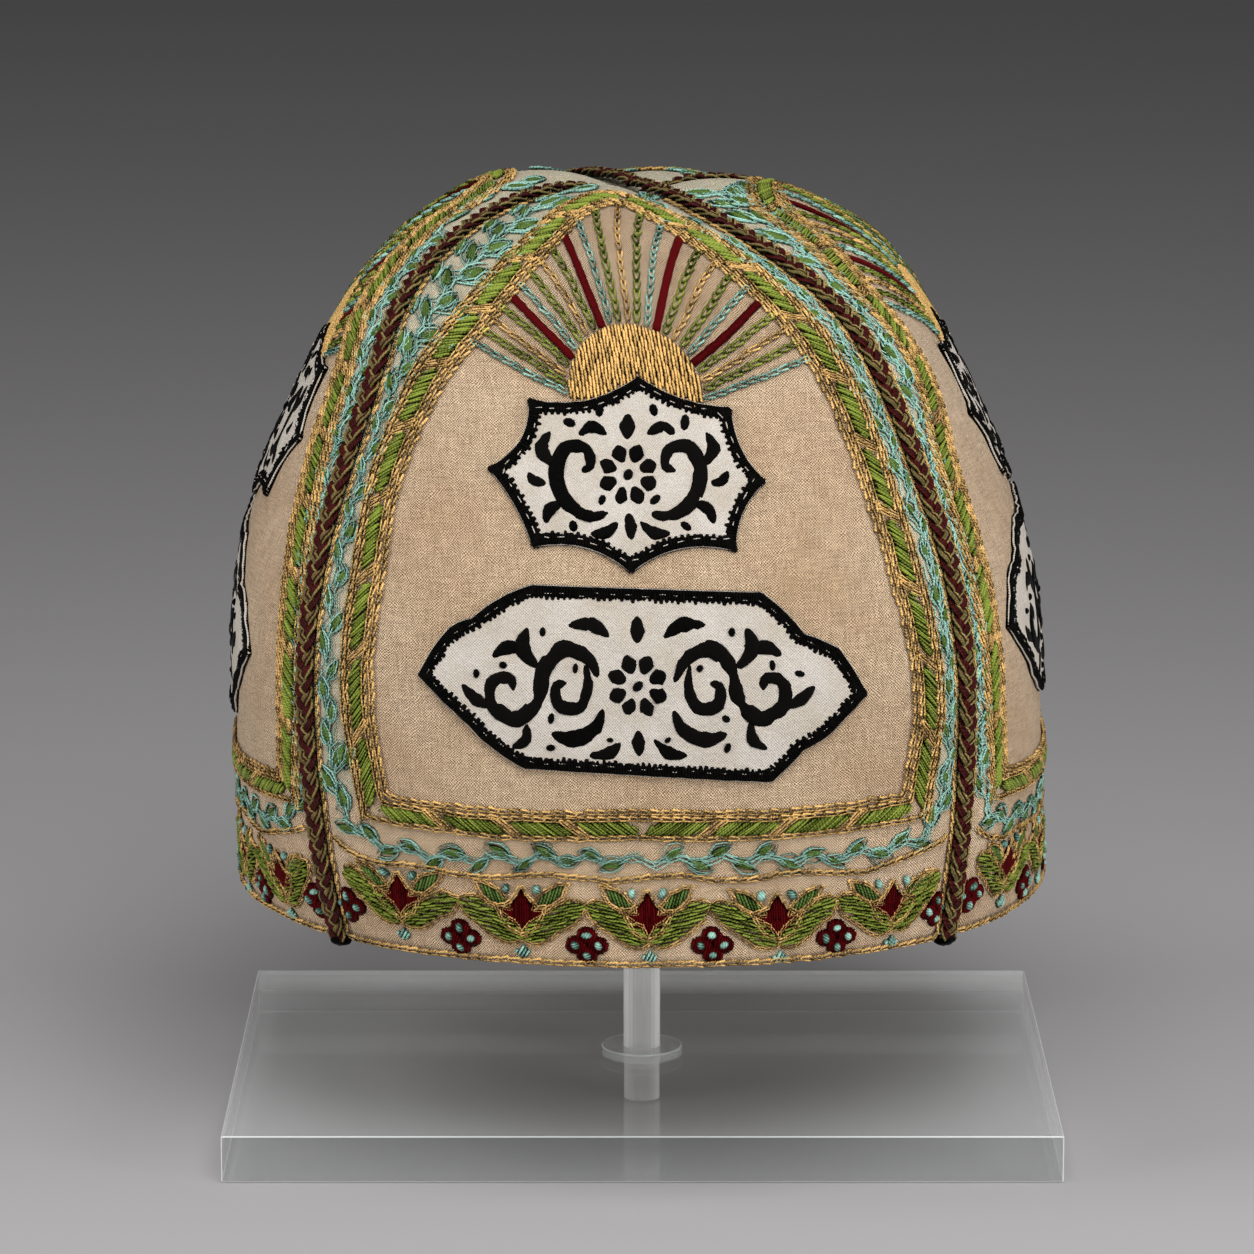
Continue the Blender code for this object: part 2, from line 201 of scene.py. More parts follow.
# The front edge is polished, and shows the grey of the sheet's depth.
polished, tree, shader = start_material("polished_acrylic_edge", "#94989A", IOR=1.49, Roughness=0.1,
                                        Transmission_Weight=0.5, Alpha=0.35)

for name, material in (("stand_post", rod), ("stand_collar", acrylic)):
    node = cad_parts[name]
    node.data.materials.clear()
    node.data.materials.append(material)
low, high = (Vector(corner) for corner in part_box("stand_plate"))
tenon = add_alone(bpy.ops.mesh.primitive_cylinder_add, "post_in_plate", vertices=48, radius=ROD_RADIUS * MM,
                  depth=high.z - ROD_CLEAR * MM, location=(0.0, 0.0, (high.z + ROD_CLEAR * MM) / 2.0))
finish_piece(tenon, "clear_acrylic", rod)
ring_low, ring_high = (Vector(corner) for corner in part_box("stand_collar"))
rim = add_alone(bpy.ops.mesh.primitive_torus_add, "collar_rim", major_segments=64, minor_segments=8,
                major_radius=(ring_high.x - ring_low.x) / 2.0 - RING_BEVEL * MM, minor_radius=RING_BEVEL * MM,
                location=(0.0, 0.0, ring_high.z - RING_BEVEL * MM))
finish_piece(rim, "clear_acrylic", ground_edge)
plate = add_alone(bpy.ops.mesh.primitive_cube_add, "clear_plate", size=1.0, location=(low + high) / 2.0,
                  scale=high - low)
bpy.ops.object.transform_apply(location=True, rotation=False, scale=True)
finish_piece(plate, "clear_acrylic", acrylic, ground_edge, sawn, polished)
for face in plate.data.polygons:
    if face.normal.y > 0.5 or abs(face.normal.x) > 0.5:
        face.material_index = 2
    if face.normal.y < -0.5:
        face.material_index = 3
bevel = plate.modifiers.new("bevel", "BEVEL")
bevel.width = PLATE_BEVEL * MM
bevel.segments = 1
bevel.material = 1
bpy.ops.object.modifier_apply(modifier=bevel.name)
for face in plate.data.polygons:
    if face.normal.y > 0.3 and face.normal.z < -0.3:
        face.material_index = 0
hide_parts("stand_plate")


# The four linen panels. Each is a stiff wall of tan linen, faced and sewn to its neighbours, hem to crown.
# The cap's form is given level by level, as the solids have it. The cloth swells a little between stitches.
# The levels give height and radius, and how far a corner stands out, the crown turns and the cloth puffs.
LEVELS = {
    "height": np.array((0.0, 15.0, 38.0, 60.0, 80.0, 98.0, 114.0, 128.0, 138.0, 144.9, 147.0, 145.0)),
    "radius": np.array((86.4, 86.0, 85.8, 84.8, 81.1, 74.3, 66.0, 56.8, 45.0, 30.5, 13.5, 0.0)),
    "corner": np.array((0.025, 0.07, 0.104, 0.118, 0.115, 0.112, 0.125, 0.142, 0.13, 0.06, 0.0, 0.0)),
    "turn": np.array((0.0, 0.2, 0.3, 0.3, 0.3, 0.6, 1.2, 3.5, 8.0, 15.0, 21.0, 28.0)),
    "puff": np.array((0.0, 0.0, 0.0, 0.2, 0.3, 0.2, 0.3, 1.0, 3.0, 4.0, 2.4, 0.0)),
}
STATIONS = np.append(0.0, np.cumsum(np.hypot(np.diff(LEVELS["radius"]), np.diff(LEVELS["height"]))))
SLOPES = {name: np.gradient(values, STATIONS) for name, values in LEVELS.items()}
CROWN_UP = STATIONS[-1]
HEM_HEIGHT = 53.3
LEAN = -1.8
LEAN_HEIGHT = 90.0
BACK_FLAT = 0.6
QUARTER = math.pi / 2
EIGHTH = math.pi / 4
GROOVE_DEPTH = 1.5
GROOVE_HALF = 6.0
GROOVE_SHARE = 0.4
GROOVE_FROM = 14.0
GROOVE_FADE = 30.0
SEAM_GAP = 0.3
WALL = 2.0
CROWN_HOLE = 2.2
LINEN_COLUMNS = 62
LINEN_ROWS = 80
COLUMN_CROWDING = 1.25
HEM_ROLL = 0.8
HAZE_FROM = 33.0
FIELD_EDGE = 0.8
WEAVE_SHIFT = 7.0
NORMAL_STEP = 0.5
NORMAL_TURN = 0.01

# Where each panel faces, in quarter turns, how far its patches sit from the front panel's, and how much
# narrower its border runs: low down on the left and on the right, and near the crown on the left.
Panel = namedtuple("Panel", "name quarters star_across star_up long_across long_up "
                            "tight_left tight_right tight_top", defaults=(0.0,) * 7)
PANELS = (
    Panel("front", 0),
    Panel("right", 1, star_up=4.0, long_across=-10.0, long_up=4.0, tight_left=4.5, tight_top=9.0),
    Panel("back", 2, long_across=1.0, long_up=1.0, tight_top=4.0),
    Panel("left", 3, star_across=14.0, star_up=3.0, long_across=1.0, long_up=1.0, tight_right=4.5),
)


def smooth_step(value):
    value = np.clip(value, 0.0, 1.0)
    return value * value * (3.0 - 2.0 * value)


def hermite(values, slopes, stations, places):
    """Values read at the places along a smooth curve through the values at the stations."""
    places = np.clip(places, stations[0], stations[-1])
    row = np.clip(np.searchsorted(stations, places, side="right") - 1, 0, len(stations) - 2)
    span = stations[row + 1] - stations[row]
    part = (places - stations[row]) / span
    if values.ndim > 1:
        part = part[:, None]
        span = span[:, None]
    rest = 1.0 - part
    start = (1.0 + 2.0 * part) * rest * rest * values[row] + part * rest * rest * span * slopes[row]
    end = (3.0 - 2.0 * part) * part * part * values[row + 1] - part * part * rest * span * slopes[row + 1]
    return start + end


def level(name, up):
    return hermite(LEVELS[name], SLOPES[name], STATIONS, up)


def half_width(up):
    """Length round the cap from a panel's middle line to its seam."""
    return level("radius", up) * EIGHTH * (1.0 + level("corner", up) / 2.0)


def plain_point(up, azimuth):
    """Points of the cap's outer surface in millimetres, without the grooves at the seams."""
    seam_share = (1.0 - np.cos(4.0 * azimuth)) / 2.0
    height = level("height", up)
    radius = level("radius", up) * (1.0 + level("corner", up) * seam_share)
    angle = azimuth - np.radians(level("turn", up))
    lean = LEAN * np.minimum(height / LEAN_HEIGHT, 1.0)
    slack = 1.0 - BACK_FLAT * smooth_step(-np.cos(azimuth))
    rise = HEM_HEIGHT + height + level("puff", up) * slack * (1.0 - seam_share)
    return np.stack([radius * np.sin(angle) + lean, -radius * np.cos(angle), rise], axis=-1)


def unit(vectors):
    return vectors / np.maximum(np.linalg.norm(vectors, axis=1), 1e-6)[:, None]


def outward(up, azimuth):
    """Unit normals of that surface."""
    low = np.clip(up - NORMAL_STEP, 0.0, CROWN_UP - 2.0 * NORMAL_STEP)
    high = np.minimum(up + NORMAL_STEP, CROWN_UP - NORMAL_STEP)
    along = plain_point(high, azimuth) - plain_point(low, azimuth)
    around = plain_point(up, azimuth + NORMAL_TURN) - plain_point(up, azimuth - NORMAL_TURN)
    normal = np.cross(around, along)
    normal[up > CROWN_UP - 2.0 * NORMAL_STEP] = (0.0, 0.0, 1.0)
    return unit(normal)


def groove_depth(up, from_seam):
    """How far the cloth dips towards a seam, where the braid lies."""
    width = np.maximum(np.minimum(GROOVE_HALF, GROOVE_SHARE * half_width(up)), 0.01)
    share = np.clip(from_seam / width, 0.0, 1.0)
    fade = smooth_step((level("radius", up) - GROOVE_FROM) / GROOVE_FADE)
    return GROOVE_DEPTH * fade * np.cos(QUARTER * share) ** 2


CHANCE = np.random.default_rng(11)
SWELL_GRID = 64
SWELL_START = (32.0, 8.0)
SWELLS = CHANCE.uniform(-1.0, 1.0, (3, SWELL_GRID, SWELL_GRID))
LONG_WAVES = (0.26, 13.0)
SHORT_WAVES = (0.13, 5.0)


def swell(layer, across, up, spacing):
    """Smooth random waves, from -1 to 1, whose crests lie about two spacings apart."""
    x = across / spacing + SWELL_START[0]
    y = up / spacing + SWELL_START[1]
    column = np.floor(x).astype(int)
    row = np.floor(y).astype(int)
    right = smooth_step(x - column)
    above = smooth_step(y - row)

    def read(rows, columns):
        return SWELLS[layer][rows % SWELL_GRID, columns % SWELL_GRID]

    low = read(row, column) * (1.0 - right) + read(row, column + 1) * right
    high = read(row + 1, column) * (1.0 - right) + read(row + 1, column + 1) * right
    return low * (1.0 - above) + high * above


def relief(across, up):
    """Height of the linen's own waves, in millimetres."""
    waves = ((0, *LONG_WAVES), (1, *SHORT_WAVES))
    return sum(height * swell(layer, across, up, spacing) for layer, height, spacing in waves)


def wrap(flat, quarters):
    """Carries a panel's flat points (across, up, height) onto the cap, in metres."""
    across, up, height = flat.T
    width = half_width(up)
    azimuth = across / np.maximum(width, 0.5) * EIGHTH + quarters * QUARTER
    lift = height + relief(across, up) - groove_depth(up, np.maximum(width - np.abs(across), 0.0))
    return (plain_point(up, azimuth) + outward(up, azimuth) * lift[:, None]) * MM


def read_points(mesh):
    points = np.zeros(len(mesh.vertices) * 3)
    mesh.vertices.foreach_get("co", points)
    return points.reshape(-1, 3)


def write_points(mesh, points):
    mesh.vertices.foreach_set("co", np.ascontiguousarray(points, np.float32).ravel())
    mesh.update()


def store(mesh, name, vectors):
    """Keeps a vector for each vertex under a name that the materials read."""
    kept = mesh.attributes.new(name, "FLOAT_VECTOR", "POINT")
    kept.data.foreach_set("vector", np.ascontiguousarray(vectors, np.float32).ravel())


def put_on(piece, material, slot):
    piece.data.shade_smooth()
    finish_piece(piece, slot, material)


def thicken(piece, thickness):
    """Gives a sheet its thickness on the inner side."""
    bpy.ops.object.select_all(action="DESELECT")
    piece.select_set(True)
    bpy.context.view_layer.objects.active = piece
    wall = piece.modifiers.new("wall", "SOLIDIFY")
    wall.thickness = thickness
    wall.offset = -1.0
    bpy.ops.object.modifier_apply(modifier=wall.name)


# Where the innermost line of the border runs: its distance from the seam on the left and right, by level.
LEFT = -1
RIGHT = 1
BORDER_UPS = np.array((34.0, 52.0, 82.0, 100.0, 118.0, 136.0, 150.0, 160.0))
BORDER_FROM_SEAM = {
    LEFT: (18.6, 16.4, 15.7, 14.3, 16.2, 22.8, 26.4, 27.8),
    RIGHT: (15.2, 12.9, 14.5, 14.3, 13.9, 15.2, 15.6, 16.8),
}
BORDER_TIP = (4.6, 164.6)
BORDER_FOOT = 32.8
BORDER_MIDDLE = 1.0
BORDER_STEP = 1.5
TIGHT_UNTIL = 118.0
TIGHT_FADE = 40.0
TIGHT_TOP_FADE = 18.0
BAND_OUTERMOST = 6.3
FLORAL_TOP = 19.0
FLORAL_RISE = 5.5
FLORAL_KEPT = 3.0
FLORAL_FADE = 7.0
FLORAL_WAVE = 0.6
FLORAL_PITCH = 26.0


def floral_top(across):
    """Height of the gold line over the flowers. It rises next to the seams."""
    from_seam = half_width(np.full(across.shape, FLORAL_TOP)) - np.abs(across)
    rise = FLORAL_RISE * np.exp(-np.maximum(from_seam - FLORAL_KEPT, 0.0) / FLORAL_FADE)
    return FLORAL_TOP + rise + FLORAL_WAVE * np.sin(across / FLORAL_PITCH * 2.0 * math.pi)


def stations_along(points):
    return np.append(0.0, np.cumsum(np.linalg.norm(np.diff(points, axis=0), axis=1)))


def fitted(length, step):
    """How many whole steps fit a length best."""
    return max(int(round(length / step)), 1)


def smooth_line(points, step):
    """A smooth curve through the points, as points about one step apart."""
    points = np.array(points, float)
    stations = stations_along(points)
    slopes = np.gradient(points, stations, axis=0)
    places = np.linspace(0.0, stations[-1], fitted(stations[-1], step) + 1)
    return hermite(points, slopes, stations, places)


def offset_line(line, distance):
    """A closed line moved to the left of its direction, with mitred corners."""
    ahead = unit(np.roll(line, -1, axis=0) - line)
    sides = np.stack([-ahead[:, 1], ahead[:, 0]], axis=1)
    middle = unit(sides + np.roll(sides, 1, axis=0))
    mitre = 1.0 / np.maximum(np.sum(middle * sides, axis=1), 0.5)
    return line + middle * (mitre * distance)[:, None]


def inside(points, outline):
    """Tells for each point whether it lies inside the outline."""
    found = np.zeros(len(points), bool)
    for start, end in zip(outline, np.roll(outline, -1, axis=0)):
        if start[1] == end[1]:
            continue
        between = (start[1] > points[:, 1]) != (end[1] > points[:, 1])
        meets = start[0] + (points[:, 1] - start[1]) / (end[1] - start[1]) * (end[0] - start[0])
        found ^= between & (points[:, 0] < meets)
    return found


def border_distance(panel, side, up):
    """Distance of the border's innermost line from the seam on that side."""
    tight = panel.tight_left if side == LEFT else panel.tight_right
    distance = np.interp(up, BORDER_UPS, BORDER_FROM_SEAM[side])
    distance = distance - tight * smooth_step((TIGHT_UNTIL - up) / TIGHT_FADE)
    if side == LEFT:
        distance = distance - panel.tight_top * smooth_step((up - TIGHT_UNTIL) / TIGHT_TOP_FADE)
    return distance


def border_stretches(panel):
    """The innermost line in four stretches: each half of the foot from the middle, then each side upwards."""
    stretches = {}
    arch = []
    for side in (LEFT, RIGHT):
        across = side * (half_width(BORDER_UPS) - border_distance(panel, side, BORDER_UPS))
        arch.append(list(zip(across, BORDER_UPS)))
        corner = (across[0], BORDER_UPS[0])
        foot = [(BORDER_MIDDLE, BORDER_FOOT), (across[0] * 0.5, BORDER_FOOT - 0.2), corner]
        stretches["foot", side] = smooth_line(foot, BORDER_STEP)
    whole = smooth_line(arch[0] + [BORDER_TIP] + arch[1][::-1], BORDER_STEP)
    top = int(np.argmax(whole[:, 1]))
    stretches["side", LEFT] = whole[:top + 1]
    stretches["side", RIGHT] = whole[top:][::-1]
    return stretches


def border_ring(panel, distance):
    """The border's closed line this far outside the innermost one, and where each stretch lies in it."""
    stretches = border_stretches(panel)
    order = [("foot", LEFT, 1), ("side", LEFT, 1), ("side", RIGHT, -1), ("foot", RIGHT, -1)]
    parts = []
    places = {}
    count = 0
    for part, side, way in order:
        stretch = stretches[part, side][::way]
        places[part, side] = np.arange(count, count + len(stretch))[::way]
        parts.append(stretch[:-1])
        count += len(stretch) - 1
    places["foot", RIGHT] = places["foot", RIGHT] % count
    return offset_line(np.concatenate(parts), distance), places


# Plain-woven linen gives a matt ground with thick and thin threads both ways, greyer inside the borders.
# Its real threads are 0.45 mm apart, too fine to show, so they are drawn 0.58 mm apart.
THREAD_SPACING = 0.58


def plain_weave(tree, place, spacing):
    """Threads over and under each other, as waves both ways."""
    turns = 2.0 * math.pi / spacing
    phase = add_node(tree, "VectorMath", {0: place, 1: (turns, turns, 0.0)}, operation="MULTIPLY")
    waves = add_node(tree, "VectorMath", {0: phase}, operation="SINE")
    along, over, _ = add_node(tree, "SeparateXYZ", {"Vector": waves}).outputs
    return add_node(tree, "Math", {0: along, 1: over}, operation="MULTIPLY")


def mottle(tree, place, below, colour, span, most, blend="MULTIPLY", **noise):
    """Soft blotches of a colour over the one below, where a noise lies in this span."""
    blotch = add_node(tree, "TexNoise", {"Vector": place, **noise})
    share = add_node(tree, "MapRange", {"Value": blotch, "From Min": span[0], "From Max": span[1],
                                        "To Min": 0.0, "To Max": most})
    return add_node(tree, "Mix", {0: share, 6: below, 7: linear(colour)}, data_type="RGBA", blend_type=blend)


linen, tree, shader = start_material("washed_tan_linen", "#B59A76", Roughness=0.92, Sheen_Weight=0.1,
                                     Sheen_Roughness=0.5, Specular_IOR_Level=0.25)
place = add_node(tree, "Attribute", attribute_name="flat").outputs["Vector"]
zone = add_node(tree, "Attribute", attribute_name="zone").outputs["Vector"]
open_field, vine, _ = add_node(tree, "SeparateXYZ", {"Vector": zone}).outputs
wander = add_node(tree, "TexNoise", {"Vector": place, "Scale": 0.35, "Detail": 2.0}).outputs["Color"]
shift = add_node(tree, "VectorMath", {0: wander, 1: (1.1, 1.1, 0.0)}, operation="MULTIPLY")
placed = add_node(tree, "VectorMath", {0: place, 1: shift}, operation="ADD")
slubs = []
for scale in ((2.6, 0.2, 0.0), (0.2, 2.6, 0.0)):
    stretched = add_node(tree, "VectorMath", {0: placed, 1: scale}, operation="MULTIPLY")
    slubs.append(add_node(tree, "TexNoise", {"Vector": stretched, "Scale": 1.0, "Detail": 2.0,
                                             "Roughness": 0.6}))
cloth = add_node(tree, "Math", {0: slubs[0], 1: slubs[1]}, operation="ADD")
cloth = add_node(tree, "Math", {0: cloth, 1: 0.8, 2: -0.625}, operation="MULTIPLY_ADD")
fibre = add_node(tree, "TexNoise", {"Vector": place, "Scale": 2.6, "Detail": 2.0})
for wave in (fibre, plain_weave(tree, placed, THREAD_SPACING)):
    cloth = add_node(tree, "Math", {0: wave, 1: 0.65, 2: cloth}, operation="MULTIPLY_ADD")
dyed = add_node(tree, "Mix", {0: cloth, 6: linear("#7A6144"), 7: linear("#FFE2BF")}, data_type="RGBA")
dyed = add_node(tree, "Mix", {0: open_field, 6: dyed, 7: linear("#F0EFEE")}, data_type="RGBA",
                blend_type="MULTIPLY")
dyed = mottle(tree, place, dyed, "#CDB08A", (0.4, 0.72), most=0.4, Scale=0.04, Detail=5.0)
haze = add_node(tree, "TexNoise", {"Vector": place, "Scale": 1.1, "Detail": 3.0})
haze = add_node(tree, "Math", {0: haze, 1: vine}, operation="MULTIPLY")
haze = add_node(tree, "Math", {0: haze, 1: 0.65}, operation="MULTIPLY")
dyed = add_node(tree, "Mix", {0: haze, 6: dyed, 7: linear("#ABC4B2")}, data_type="RGBA")
dyed = mottle(tree, place, dyed, "#8C6437", (0.7, 0.76), most=0.6, Scale=0.3, Detail=4.0, Roughness=0.7)
bump = add_node(tree, "Bump", {"Strength": 0.8, "Distance": 0.0003, "Height": cloth})
set_inputs(tree, shader, {"Base Color": dyed, "Normal": bump})

linen_length = CROWN_UP - CROWN_HOLE
ups = np.linspace(0.0, linen_length, 400)
for panel in PANELS:
    cloth = add_alone(bpy.ops.mesh.primitive_grid_add, "linen_" + panel.name, x_subdivisions=LINEN_COLUMNS,
                      y_subdivisions=LINEN_ROWS, size=2.0)
    points = read_points(cloth.data)
    share = np.sin(points[:, 0] * COLUMN_CROWDING) / math.sin(COLUMN_CROWDING)
    up = (points[:, 1] + 1.0) / 2.0 * linen_length
    flat = np.stack([share * (half_width(up) - SEAM_GAP / 2.0), up, -HEM_ROLL * (up < 0.01)], axis=1)
    write_points(cloth.data, wrap(flat, panel.quarters))
    store(cloth.data, "flat", flat + (0.0, 0.0, panel.quarters * WEAVE_SHIFT))
    field, _ = border_ring(panel, FIELD_EDGE)
    open_field = inside(flat[:, :2], field) * 1.0
    field, _ = border_ring(panel, BAND_OUTERMOST)
    vine = ~inside(flat[:, :2], field) & (up > HAZE_FROM)
    store(cloth.data, "zone", np.stack([open_field, vine, open_field], axis=1))
    thicken(cloth, WALL * MM)
    put_on(cloth, linen, "linen")
    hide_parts("panel_" + panel.name)


# Gold chain stitch, in silk floss that catches the light. Single lines edge the seams, the hem and the
# flowers. Pairs of lines edge the green band, and short pairs part its lozenges. Each loop comes up inside
# the last one.
CHAIN_PITCH = 2.25
CHAIN_WIDTH = 1.7
CHAIN_HEIGHT = 0.8
CHAIN_OVERLAP = 1.36
CHAIN_WANDER = 0.11
LOOP_RADIUS = 0.62
LOOP_THREAD = 0.36
LOOP_HALF_HEIGHT = 0.312
LOOP_STRETCH = 0.9
LOOP_LENGTH = 3.8
FINE_CHAIN = dict(pitch=1.7, width=1.1, height=0.6)
# The part of a stitch's shade that is its own tone. The rest is painted shade, darker towards its foot, where
# no light reaches.
LOW_SHADE = 0.42


def template(shape, points, shade):
    """A stitch to be copied: its points as parts of its length, width and height, its triangles and its
    painted shade.
    """
    shape.data.calc_loop_triangles()
    triangles = np.zeros(len(shape.data.loop_triangles) * 3, np.int32)
    shape.data.loop_triangles.foreach_get("vertices", triangles)
    bpy.data.objects.remove(shape)
    return points, triangles.reshape(-1, 3), np.clip(shade, 0.0, 1.0)


def right_of(ahead):
    return np.stack([ahead[:, 1], -ahead[:, 0]], axis=1)


def lay(stitch, starts, ends, width, height, lift, bow=0.0):
    """Copies a stitch from each start to its end. A bow bends it to the right of its direction."""
    points, triangles, painted_shade = stitch
    starts = np.asarray(starts, float).reshape(-1, 2)
    run = np.asarray(ends, float).reshape(-1, 2) - starts
    length = np.maximum(np.linalg.norm(run, axis=1), 0.01)[:, None]
    ahead = run / length
    aside = right_of(ahead)
    forth = points[:, 1] * length
    over = points[:, 0] * np.broadcast_to(width, length.shape)
    bend = bow * 4.0 * points[:, 1] * (1.0 - points[:, 1])
    flat = np.zeros((len(starts), len(points), 3))
    sideways = aside[:, None] * (over + bend)[..., None]
    flat[..., :2] = starts[:, None] + ahead[:, None] * forth[..., None] + sideways
    flat[..., 2] = points[:, 2] * height + lift
    # Each stitch's tone by chance, with painted shade from its template: darker low down, lighter on top.
    shade = LOW_SHADE * CHANCE.uniform(0.0, 1.0, (len(starts), 1)) + (1.0 - LOW_SHADE) * painted_shade
    copies = np.arange(len(starts))[:, None, None] * len(points)
    thread = np.stack([forth, over, shade], axis=-1)
    return flat.reshape(-1, 3), (triangles + copies).reshape(-1, 3), thread.reshape(-1, 3)


def sweep(line, widths, heights, sides, lift):
    """A closed cord along a flat line, of this width and height at each point, that lies on its lift."""
    count = len(line)
    aside = right_of(unit(np.gradient(line, axis=0)))
    widths, heights, lift = (np.broadcast_to(value, count)[:, None] for value in (widths, heights, lift))
    angles = 2.0 * math.pi * (np.arange(sides) + 0.5) / sides
    over = np.cos(angles) * widths / 2.0
    flat = np.zeros((count, sides, 3))
    flat[..., :2] = line[:, None] + aside[:, None] * over[..., None]
    flat[..., 2] = (np.sin(angles) + 1.0) * heights / 2.0 + lift
    ring = np.arange(sides)
    following = (ring + 1) % sides
    base = np.arange(count - 1)[:, None] * sides
    corners = [base + ring, base + sides + ring, base + sides + following, base + following]
    halves = []
    for half in ((0, 1, 2), (0, 2, 3)):
        halves.append(np.stack([corners[number] for number in half], axis=-1).reshape(-1, 3))
    fan = np.stack([np.zeros(sides - 2, int), ring[1:-1], ring[2:]], axis=-1)
    faces = np.concatenate([*halves, fan, fan[:, ::-1] + (count - 1) * sides])
    forth = np.broadcast_to(stations_along(line)[:, None], (count, sides))
    # Painted shade: each cord is lighter on top and darker towards its underside, besides its own tone by
    # chance.
    body = np.broadcast_to((np.sin(angles) + 1.0) / 2.0, (count, sides))
    shade = LOW_SHADE * CHANCE.uniform() + (1.0 - LOW_SHADE) * body
    thread = np.stack([forth, over, shade], axis=-1)
    return flat.reshape(-1, 3), faces, thread.reshape(-1, 3)


def read_along(values, stations, places):
    """Rows of values, given at the stations, read at these places."""
    return np.stack([np.interp(places, stations, column) for column in values.T], axis=-1)


def walk(line, step):
    """Points one step apart along a line, the step fitted to its length."""
    line = np.asarray(line, float)
    stations = stations_along(line)
    places = np.linspace(0.0, stations[-1], fitted(stations[-1], step) + 1)
    return read_along(line, stations, places)


def beside(line, distance):
    """An open line moved to the right of its direction."""
    return line + right_of(unit(np.gradient(line, axis=0))) * distance


def join(layers):
    """Several layers of stitches as one."""
    counts = np.cumsum([0] + [len(layer[0]) for layer in layers])
    points, faces, thread = zip(*layers)
    faces = [face + count for face, count in zip(faces, counts)]
    return np.concatenate(points), np.concatenate(faces), np.concatenate(thread)


def link_piece(name, points, faces):
    mesh = bpy.data.meshes.new(name)
    mesh.from_pydata(points.tolist(), [], faces)
    piece = bpy.data.objects.new(name, mesh)
    bpy.context.scene.collection.objects.link(piece)
    return piece


def make_piece(name, points, faces, thread, material, slot):
    piece = link_piece(name, points, faces.tolist())
    store(piece.data, "thread", thread)
    put_on(piece, material, slot)
    return piece


def sew(name, layers, quarters, material, slot):
    """Makes one piece of the stitches of one colour on a panel."""
    flat, faces, thread = join(layers)
    make_piece(name, wrap(flat, quarters), faces, thread, material, slot)


def twisted(tree, slope, pitch):
    """A thread's own place on its stitch, its tone with its painted shade, and the waves of its twist,
    slanted across it.
    """
    place = add_node(tree, "Attribute", attribute_name="thread").outputs["Vector"]
    forth, over, shade = add_node(tree, "SeparateXYZ", {"Vector": place}).outputs
    slant = add_node(tree, "Math", {0: over, 1: slope, 2: forth}, operation="MULTIPLY_ADD")
    turn = add_node(tree, "Math", {0: slant, 1: 2.0 * math.pi / pitch}, operation="MULTIPLY")
    return place, shade, add_node(tree, "Math", {0: turn}, operation="SINE")


# Six-strand floss turns about once in half a millimetre. It is drawn a little coarser, so that it shows.
TWIST = 0.7


def silk(name, dark, bright, roughness, ply_depth=0.5, shine=0.5):
    """Silk floss. Its crests are painted lighter and its feet darker, a painted highlight and shade besides
    its real gloss, and no two stitches are quite the same shade.
    """
    material, tree, shader = start_material(name, bright, Roughness=roughness, Specular_IOR_Level=shine,
                                            Specular_Tint=linear(bright))
    place, crest, ply = twisted(tree, 0.8, TWIST)
    blotch = add_node(tree, "TexNoise", {"Vector": place, "Scale": 1.3, "Detail": 2.0})
    # Raised to a power, the crest value narrows the painted highlight and deepens the painted shade between
    # threads.
    crest = add_node(tree, "Math", {0: crest, 1: 1.7}, operation="POWER")
    shade = add_node(tree, "Math", {0: crest, 1: 1.5, 2: blotch}, operation="MULTIPLY_ADD")
    mixed = add_node(tree, "Math", {0: ply, 1: 0.16, 2: shade}, operation="MULTIPLY_ADD")
    share = add_node(tree, "MapRange", {"Value": mixed, "From Min": 0.6, "From Max": 1.6})
    dyed = add_node(tree, "Mix", {0: share, 6: linear(dark), 7: linear(bright)}, data_type="RGBA")
    bump = add_node(tree, "Bump", {"Strength": ply_depth, "Distance": 0.0002, "Height": ply})
    set_inputs(tree, shader, {"Base Color": dyed, "Normal": bump})
    return material


gold_silk = silk("old_gold_silk_floss", "#261601", "#F4C67C", roughness=0.32, shine=0.6)

loop = add_alone(bpy.ops.mesh.primitive_torus_add, "loop", major_segments=8, minor_segments=3,
                 major_radius=LOOP_RADIUS, minor_radius=LOOP_THREAD, rotation=(0.0, 0.0, math.radians(22.5)))
bpy.ops.object.transform_apply(location=False, rotation=True, scale=False)
points = read_points(loop.data)
round_shade = (points[:, 2] / LOOP_HALF_HEIGHT + 1.0) / 2.0
points[:, 1] = (points[:, 1] + LOOP_STRETCH * np.sign(points[:, 1])) / LOOP_LENGTH + 0.5
points[:, 0] *= 0.5 * (0.55 + 0.45 * smooth_step(points[:, 1] * 2.0))
points[:, 2] = round_shade * 0.8 + 0.45 * (1.0 - smooth_step(points[:, 1] * 1.2))
# Painted shade: each loop is darker low on its thread, and darker still at its base, where it goes under the
# last loop.
CHAIN_LOOP = template(loop, points, round_shade * (0.35 + 0.65 * smooth_step(points[:, 1] * 1.8)))


